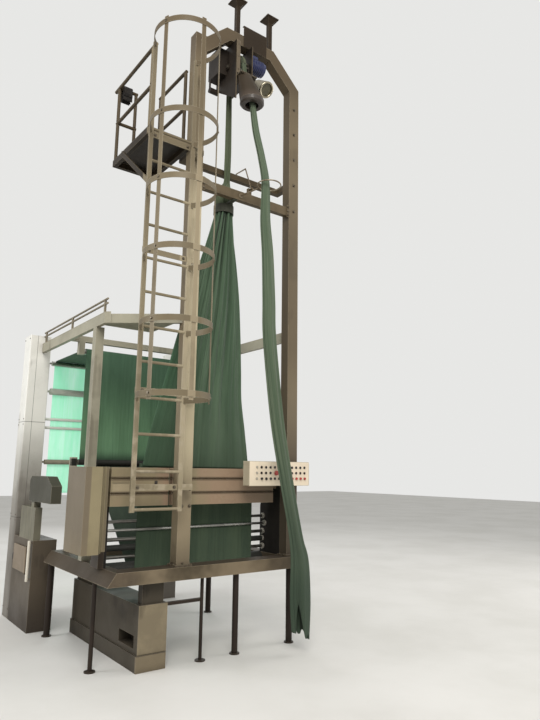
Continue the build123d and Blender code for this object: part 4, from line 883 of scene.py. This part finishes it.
def stretched(name, left, wide, line, columns, slack, seed, finish, wall=web_wall):
    """A flat web through points (y, z, give) from edge to edge, filled in at an even pitch. Between
    two points that give, it bulges in long folds, up to about slack."""
    luck = random.Random(seed)
    folds = [
        (luck.uniform(0.02, 0.98), luck.uniform(0.006, 0.022), luck.uniform(-1, 1), luck.uniform(0, 6.28))
        for _ in range(26)
    ]
    places = []
    for i, ((y0, z0, give0), (y1, z1, give1)) in enumerate(zip(line, line[1:])):
        parts = max(1, round(math.hypot(y1 - y0, z1 - z0) / pitch))
        for k in range(parts + (i == len(line) - 2)):
            t = k / parts
            bow = 4 * t * (1 - t) * (1 if give0 and give1 else 0)
            places.append((y0 + t * (y1 - y0), z0 + t * (z1 - z0), bow, (z1 - z0, -(y1 - y0))))
    mesh = bmesh.new()
    laid = mesh.loops.layers.uv.new("cloth")
    rows, walked = [], [0.0]
    for y, z, bow, (ny, nz) in places:
        if rows:
            walked.append(walked[-1] + math.hypot(y - last[0], z - last[1]))
        last = (y, z)
        size = math.hypot(ny, nz)
        row = []
        for column in range(columns + 1):
            u = column / columns
            wave = sum(
                m * math.exp(-(((u - c - 0.012 * math.sin(2.1 * walked[-1] + p)) / w) ** 2))
                for c, w, m, p in folds
            )
            lift = slack * bow * wave
            row.append(mesh.verts.new((left + wide * u, y + lift * ny / size, z + lift * nz / size)))
        rows.append(row)
    for r, (low, high) in enumerate(zip(rows, rows[1:])):
        for column in range(columns):
            face = mesh.faces.new((low[column], low[column + 1], high[column + 1], high[column]))
            face.smooth = True
            us = (column, column + 1, column + 1, column)
            vs = (walked[r], walked[r], walked[r + 1], walked[r + 1])
            for loop, u, v in zip(face.loops, us, vs):
                loop[laid].uv = (wide * u / columns, v)
    piece, area = sewn(mesh, name, finish, wall, 0)
    return piece, area


def round_roller(y, z, radius, start, end, parts):
    """Points of a web on a roller, between two angles in degrees."""
    turns = [math.radians(start + (end - start) * k / parts) for k in range(parts + 1)]
    return [(y + radius * math.cos(a), z + radius * math.sin(a), 0) for a in turns]


# The window web is a darker copy of the cloth, painted shade behind the covers, darker again with painted
# shade where it climbs back from the turn roller.
window_green_shaded = knit(
    "window_green_shaded", (0.047, 0.072, 0.047), (0.070, 0.100, 0.062), (0.036, 0.055, 0.037),
    (1, -0.58, -0.45, 0.65, (0.020, 0.030, 0.022)), lines=0.2,
)
web_left, web_width, web_front = -0.466, 1.235, -0.625
front_cloth, front_area = stretched(
    "front_web_cloth", web_left, web_width,
    [(web_front, 1.6397, 1), (web_front, 1.175, 0)]
    + round_roller(-0.5632, 0.735, radius=0.0618, start=180, end=312.6, parts=14)
    + [(0.4951, 1.6274, 0)],
    columns=220, slack=0.004, seed=31, finish=window_green_shaded,
)
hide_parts("front_web")
front_area / web_width
roller_rubber = moulding("roller_rubber", (0.017, 0.018, 0.014), roughness=0.55)
dress(roller_rubber, "window_roller_4", "turn_roller")


# Side plates of the window, of thick plate black with lint and oil, and the pale moulded
# flange bearings in which the rollers turn.
plate_black = enamel(
    "plate_black", coat=(0.022, 0.019, 0.017), soot=(0.008, 0.007, 0.006), under=(0.10, 0.085, 0.066),
    dirt=0.5, drips=0.4, rubbed=0.5,
)
dress(plate_black, "side_plates")
dress(moulding("bearing_white", (0.34, 0.32, 0.275), roughness=0.45), "bearing_flanges")


# Rear webs: from the bar up the back of the machine, over the bright top roller and down at the
# far end, where the cloth is painted pale mint green and made to glow as if lit from behind.
# The rear web is a lighter, lit copy of the cloth, with painted shade towards its top and the painted
# shadow of the spreader bar across its foot.
seen_green = knit(
    "lit_green", (0.105, 0.205, 0.112), (0.150, 0.285, 0.160), (0.075, 0.145, 0.084),
    (2, 1.9, 2.75, 0.70, (0.034, 0.072, 0.050)), (2, 1.80, 1.66, 0.8, (0.020, 0.036, 0.026)), lines=0.2,
)
rear_left, rear_width = -0.614, 1.376
near_roller_y, far_roller_y, rollers_z, roller_reach = 0.5368, 1.5332, 2.812, 0.0318
rear_cloth, rear_area = stretched(
    "rear_web_cloth", rear_left, rear_width,
    [(0.5048, 1.62, 0), (0.505, 1.66, 1), (0.505, 2.80, 1)]
    + round_roller(near_roller_y, rollers_z, roller_reach, start=180, end=90, parts=6)
    + [(far_roller_y, 2.8438, 0)],
    columns=240, slack=0.005, seed=37, finish=seen_green,
)
mint_green = knit("backlit_mint", (0.26, 0.56, 0.41), (0.37, 0.64, 0.50), (0.17, 0.44, 0.29), lines=0.3)
mint_tree = mint_green.node_tree
mint_shader = mint_tree.nodes["Principled BSDF"]
laid = Shade(mint_tree, mint_tree.nodes["UV Map"].outputs["UV"])
# The glow is painted light: an emission makes the far web shine though it is no lamp.
glow = blend(step(mottle(laid, 1.0, 4, (7, 0.8, 1)), 0.34, 0.68), (0.30, 0.86, 0.55), (0.62, 1.0, 0.80))
feed(mint_shader, Emission_Color=glow)
mint_shader.inputs["Emission Strength"].default_value = 0.55
far_y = 1.565
far_cloth, far_area = stretched(
    "far_web_cloth", rear_left, rear_width,
    round_roller(far_roller_y, rollers_z, roller_reach, start=90, end=0, parts=6)
    + [(far_y, 2.475, 1), (far_y, 1.70, 0), (far_y, 1.60, 1), (far_y, 1.3005, 1)],
    columns=240, slack=0.006, seed=41, finish=mint_green,
)
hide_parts("rear_web")
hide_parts("rear_web")
rear_area / rear_width
far_area / rear_width
dress(moulding("roller_grey", (0.50, 0.52, 0.46), roughness=0.5), "far_roller_middle")
dress(moulding("roller_brown", (0.27, 0.24, 0.18), roughness=0.5), "far_roller_low")


# Black lifting straps of woven webbing, folded double over the far rail of the platform, one on
# top of another. They hang unevenly and are dusty.
def webbing():
    material, shader, place = begin("strap_webbing", 0.85, specular=0.2)
    laid = Shade(place.tree, place.tree.nodes.new("ShaderNodeUVMap").outputs["UV"])
    ribs = laid.node("TexWave", {"bands_direction": "X"}, {"Vector": laid, "Scale": 120.0})
    picks = laid.node("TexWave", {"bands_direction": "Y"}, {"Vector": laid, "Scale": 160.0})
    dust = step(mottle(place, 25, 5), 0.45, 0.7)
    feed(
        shader, Base_Color=blend(dust * 0.6, (0.022, 0.020, 0.019), (0.060, 0.052, 0.043)),
        Normal=relief(ribs * 0.6 + picks * 0.4, 0.6, 0.0014), Roughness=0.80 + dust * 0.12,
    )
    return material


strap_black = webbing()
rail_y, rail_z = -0.195, 5.490
strap_layers = ((0.0205, 0.118, 0.126), (0.0300, 0.128, 0.096), (0.0388, 0.084, 0.129))
for layer, (reach, front_drop, back_drop) in enumerate(strap_layers):
    strap_width = 0.104 - 0.006 * layer
    strap, strap_area = stretched(
        f"hung_strap_{layer + 1}", -0.672 + 0.004 * layer, strap_width,
        [(rail_y - reach, rail_z - front_drop, 1)]
        + round_roller(rail_y, rail_z, reach, start=180, end=0, parts=14)
        + [(rail_y + reach, rail_z - back_drop, 1)],
        columns=26, slack=0.003, seed=50 + layer, finish=strap_black, wall=0.003,
    )
    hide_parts("hung_strap")
    strap_area / strap_width


# Rear frame and end columns: square tubes and beams in a paler, cleaner cream, the round
# spreader bar across it black with lint, and two tall box columns with screwed panels.
def black_spreader(place, paint):
    bar = band(part_of(place, 1), 0.440, 0.506, 0.002) * band(part_of(place, 2), 1.615, 1.685, 0.002)
    paint = blend(step(part_of(place, 2), 3.00, 3.01) * 0.8, paint, (0.155, 0.125, 0.085))
    return blend(bar, paint, (0.024, 0.024, 0.021))


def column_seams(place, paint):
    height, back, across = part_of(place, 2), part_of(place, 1), part_of(place, 0)
    low = 1 - step(height + mottle(place, 3, 4) * 0.5, 0.9, 2.5)
    paint = blend(step(height, 1.2, 2.4) * 0.7, paint, (0.84, 0.83, 0.79))
    paint = blend(low * 0.80, paint, (0.095, 0.077, 0.062))
    paint = blend(step(back, 1.52, 1.42) * step(height, 2.1, 1.5) * 0.35, paint, (0.05, 0.038, 0.028))
    seams = band(height, 2.098, 2.102, 0.002) + band(height, 1.048, 1.052, 0.002)
    seams = seams + band(across, -0.872, -0.869, 0.0015)
    return blend(seams * 0.75, paint, (0.035, 0.03, 0.025))


rear_cream = enamel(
    "rear_cream", coat=(0.345, 0.325, 0.250), soot=soot, under=(0.48, 0.44, 0.35),
    dirt=0.4, drips=0.35, marks=black_spreader,
)
dress(rear_cream, "rear_frame")
column_grey = enamel(
    "column_grey", coat=(0.62, 0.605, 0.55), soot=(0.10, 0.085, 0.070), under=(0.58, 0.55, 0.48),
    dirt=0.40, drips=0.35, marks=column_seams,
)
dress(column_grey, "end_columns")
column_side = -0.953
screw_heights = (0.10, 1.02, 1.08, 2.07, 2.13, 3.06)
bolts("column_screws", 0.005, [
    (column_side, y, z, *leftwards) for y in (1.430, 1.620) for z in screw_heights
])


# Tray covers over the slitter: folded sheet with two pressed creases and a pale recess. The
# enamel is glossy and warm, with painted shadow along each crease and painted pinkish
# reflections in upright streaks.
def tray_shadows_and_reflections(place, paint):
    height, across = part_of(place, 2), part_of(place, 0)
    # Painted shadow along the two creases.
    folds = band(height, 1.378, 1.398, 0.010) + band(height, 1.500, 1.522, 0.010)
    # Painted pinkish reflections in upright streaks.
    pink_reflection = step(mottle(place, 1.0, 2, (2.6, 1, 0.4)), 0.46, 0.58)
    paint = blend(pink_reflection * 0.65, paint, (0.31, 0.205, 0.145))
    recess = band(across, -0.812, -0.650, 0.004) * band(height, 1.400, 1.476, 0.003)
    paint = blend(recess * 0.8, paint, (0.36, 0.30, 0.20))
    paint = blend(step(across, 0.15, 0.80) * 0.60, paint, (0.150, 0.118, 0.088))
    return blend(folds * 0.75, paint, (0.070, 0.050, 0.034))


tray_cream = enamel(
    "tray_cream", coat=(0.268, 0.220, 0.138), soot=(0.12, 0.09, 0.062), under=(0.44, 0.38, 0.27),
    dirt=0.30, drips=0.12, rubbed=0.5, roughness=0.34, specks=0.3, marks=tray_shadows_and_reflections,
)
dress(tray_cream, "tray_covers")


# Catches and grips: a raised pad on a bevelled base plate, of blackened steel. One holds the
# tray cover down, the other opens the cabinet beside its door.
def catch(wide, high, deep):
    """A plate with a raised finger pad, its back on y = 0 and its middle at the origin."""
    bpy.ops.mesh.primitive_cube_add(size=1, location=(0, 0, 0))
    plate = bpy.context.object
    for point in plate.data.vertices:
        point.co = (point.co.x * wide, (point.co.y - 0.5) * deep * 0.35, point.co.z * high)
    pick(plate, lambda face: face.normal.y < -0.9)
    bpy.ops.mesh.inset(thickness=wide * 0.16)
    bpy.ops.mesh.extrude_region_move(TRANSFORM_OT_translate={"value": (0, -deep * 0.45, 0)})
    bpy.ops.transform.resize(value=(0.75, 1, 0.86))
    bpy.ops.mesh.inset(thickness=wide * 0.08)
    bpy.ops.transform.translate(value=(0, -deep * 0.2, 0))
    bpy.ops.object.mode_set(mode="OBJECT")
    rounding = plate.modifiers.new("rounded", "BEVEL")
    rounding.width = wide * 0.05
    rounding.segments = 3
    bpy.ops.object.modifier_apply(modifier="rounded")
    return plate


black_steel = moulding("blackened_steel", (0.030, 0.025, 0.021), roughness=0.42, coat=0.1, dusty=0.3)
catch_place, grip_place = (-0.423, -0.880, 1.466), (-0.953, 1.346, 0.655)
tray_catch = catch(wide=0.026, high=0.052, deep=0.014)
tray_catch.data.transform(Matrix.Translation(catch_place))
join([tray_catch], "tray_catch", black_steel)
cabinet_grip = catch(wide=0.034, high=0.090, deep=0.018)
facing_left = Matrix.Rotation(math.radians(-90), 4, "Z")
cabinet_grip.data.transform(Matrix.Translation(grip_place) @ facing_left)
join([cabinet_grip], "cabinet_grip", black_steel)


# Left cover, a folded sheet box over the drive side. Its front is olive cream and the chamfer
# pale; the left side, pinkish grey, and the right flange are painted darker as shaded faces,
# and the case under it is dark brown.
def cover_seam_and_facet_shade(place, paint):
    height, across, back = part_of(place, 2), part_of(place, 0), part_of(place, 1)
    # Painted shade: the left side and the right flange are darker, as faces turned from the light.
    paint = blend(step(across, -1.050, -1.062) * 0.80, paint, (0.140, 0.112, 0.083))
    paint = blend(band(across, -0.872, -0.856, 0.004) * 0.55, paint, (0.085, 0.068, 0.045))
    paint = blend(step(across, -0.905, -0.880) * 0.30, paint, (0.19, 0.155, 0.105))
    paint = blend(step(height + mottle(place, 5, 4) * 0.2, 1.25, 0.98) * 0.30, paint, (0.235, 0.185, 0.11))
    return blend(step(height, 0.938, 0.930), paint, (0.048, 0.036, 0.027))


cover_cream = enamel(
    "cover_cream", coat=(0.262, 0.222, 0.136), soot=(0.12, 0.095, 0.062), under=(0.42, 0.37, 0.26),
    dirt=0.25, drips=0.15, rubbed=0.35, roughness=0.38, specks=0.15, marks=cover_seam_and_facet_shade,
)
dress(cover_cream, "left_cover")


# Control panel on its bracket: a shallow enamelled box, the cleanest and palest piece of the
# machine, with three rows of button lamps, push-buttons and a red stop button.
def panel_side_shade(place, paint):
    # The box's sides round its face are painted darker, as shade.
    edge = band(part_of(place, 2), 1.455, 1.670, 0.002) * band(part_of(place, 0), 0.396, 1.098, 0.002)
    return blend(1 - edge, paint, (0.42, 0.37, 0.27))


panel_ivory = enamel(
    "panel_ivory", coat=(0.80, 0.69, 0.54), soot=(0.36, 0.29, 0.19), under=(0.84, 0.80, 0.68),
    dirt=0.30, drips=0.15, rubbed=0.3, roughness=0.36, specks=0.1, marks=panel_side_shade,
)
dress(panel_ivory, "control_panel")
dress(
    moulding("button_black", (0.016, 0.014, 0.014), roughness=0.25, coat=0.4),
    "black_button_1", "black_button_2", "black_button_3",
)


def lamp_caps():
    material, shader, place = begin("signal_caps", 0.22, 0.0, 0.5, 0.4)
    column = part_of(place, 0)
    tone = blend(step(mottle(place, 60, 1), 0.45, 0.55), (0.035, 0.018, 0.014), (0.018, 0.016, 0.016))
    tone = blend(step(column, 0.52, 0.50) * 0.85, tone, (0.46, 0.43, 0.36))
    feed(shader, Base_Color=tone, Roughness=0.20 + mottle(place, 90, 2) * 0.12)
    return material


dress(lamp_caps(), "signal_lamps")
button_red = moulding("button_red", (0.40, 0.030, 0.020), roughness=0.25, coat=0.45)
dress(button_red, "red_button_1", "red_button_2", "red_button_3", "red_button_4", "stop_button")


# Base frame of the machine: a heavy folded sill with a bevelled end and side sills, dark brown,
# with painted light on its front face and painted shade on its bevelled left end, on pipe legs
# that are nearly black.
def sill_light_and_shade(place, paint):
    height, back, across = part_of(place, 2), part_of(place, 1), part_of(place, 0)
    # Painted light on the front face and painted shade on the bevelled left end; the right part and the top
    # behind the front are darker.
    lit = (1 - step(back, -1.050, -1.046)) * step(mottle(place, 1.3, 4), 0.40, 0.62)
    paint = blend(lit * 0.75, paint, (0.235, 0.185, 0.122))
    paint = blend(step(across, -0.58, -0.66) * 0.45, paint, (0.070, 0.053, 0.040))
    paint = blend(step(across, 0.35, 0.95) * 0.6, paint, (0.060, 0.046, 0.033))
    behind = step(back, -1.045, -1.03) * step(height, 0.775, 0.785)
    return blend(behind * 0.7, paint, (0.060, 0.047, 0.036))


sill_cream = enamel(
    "sill_cream", coat=(0.074, 0.058, 0.037), soot=(0.040, 0.030, 0.021), under=(0.32, 0.27, 0.19),
    dirt=0.55, drips=0.2, marks=sill_light_and_shade,
)
dress(sill_cream, "base_frame")
leg_black = enamel(
    "leg_black", coat=(0.030, 0.022, 0.017), soot=(0.014, 0.011, 0.009), under=(0.14, 0.11, 0.08),
    dirt=0.7, drips=0.4,
)
dress(leg_black, "support_legs")


# Floor box under the sill, on a wider plinth, with its service port. Its front is painted lighter
# cream as the lit face; the rest is dark with grime and darkened further with painted shade.
def box_front_painted_light(place, paint):
    # Painted light: the front face is painted lighter cream as the lit face.
    front = 1 - step(part_of(place, 1), -0.972, -0.968)
    front = front * (0.75 + 0.25 * step(mottle(place, 4, 4), 0.4, 0.6))
    paint = blend(front * 0.9, paint, (0.252, 0.208, 0.137))
    plinth = front * (1 - step(part_of(place, 2), 0.122, 0.126))
    paint = blend(plinth * 0.5, paint, (0.150, 0.118, 0.078))
    seam = band(part_of(place, 2), 0.124, 0.131, 0.003)
    return blend(seam * 0.6, paint, (0.03, 0.024, 0.018))


floor_box_dark_and_shaded = enamel(
    "floor_box_dark_and_shaded", coat=(0.062, 0.052, 0.038), soot=(0.020, 0.016, 0.012), under=(0.20, 0.17, 0.13),
    dirt=0.55, drips=0.5, marks=box_front_painted_light,
)
dress(floor_box_dark_and_shaded, "floor_box")


# Side cabinet with its hinged door and bright grab tube, and the drive guard on it: a flat
# streaky panel and the grey gear block above.
def cabinet_marks(place, paint):
    height, across, back = part_of(place, 2), part_of(place, 0), part_of(place, 1)
    tube = (1 - step(across, -0.9655, -0.9645)) * band(back, 0.715, 0.760, 0.001)
    tube = tube * step(height, 0.478, 0.480)
    paint = blend(step(height, 0.45, 0.05) * 0.6, paint, (0.034, 0.027, 0.023))
    return blend(tube, paint, (0.62, 0.58, 0.50))


def guard_marks(place, paint):
    height = part_of(place, 2)
    streaks = step(mottle(place, 1.0, 4, (1, 30, 1.2)), 0.42, 0.64)
    paint = blend(streaks * 0.55, paint, (0.105, 0.098, 0.080))
    return blend(step(height, 1.235, 1.245) * 0.85, paint, (0.042, 0.041, 0.031))


cabinet_grey = enamel(
    "cabinet_grey", coat=(0.098, 0.079, 0.058), soot=(0.036, 0.029, 0.023), under=(0.28, 0.24, 0.18),
    dirt=0.6, drips=0.3, marks=cabinet_marks,
)
dress(cabinet_grey, "side_cabinet")
door_beige = enamel(
    "door_beige", coat=(0.235, 0.183, 0.130), soot=(0.12, 0.09, 0.065), under=(0.46, 0.40, 0.31),
    dirt=0.35, drips=0.35, rubbed=0.6, roughness=0.42,
)
dress(door_beige, "cabinet_door")
guard_olive = enamel(
    "guard_olive", coat=(0.190, 0.178, 0.128), soot=(0.06, 0.052, 0.04), under=(0.36, 0.33, 0.26),
    dirt=0.5, drips=0.4, marks=guard_marks,
)
dress(guard_olive, "drive_guard")

# The bolt that the others were copied from comes out.
bpy.data.objects.remove(bolt_model)
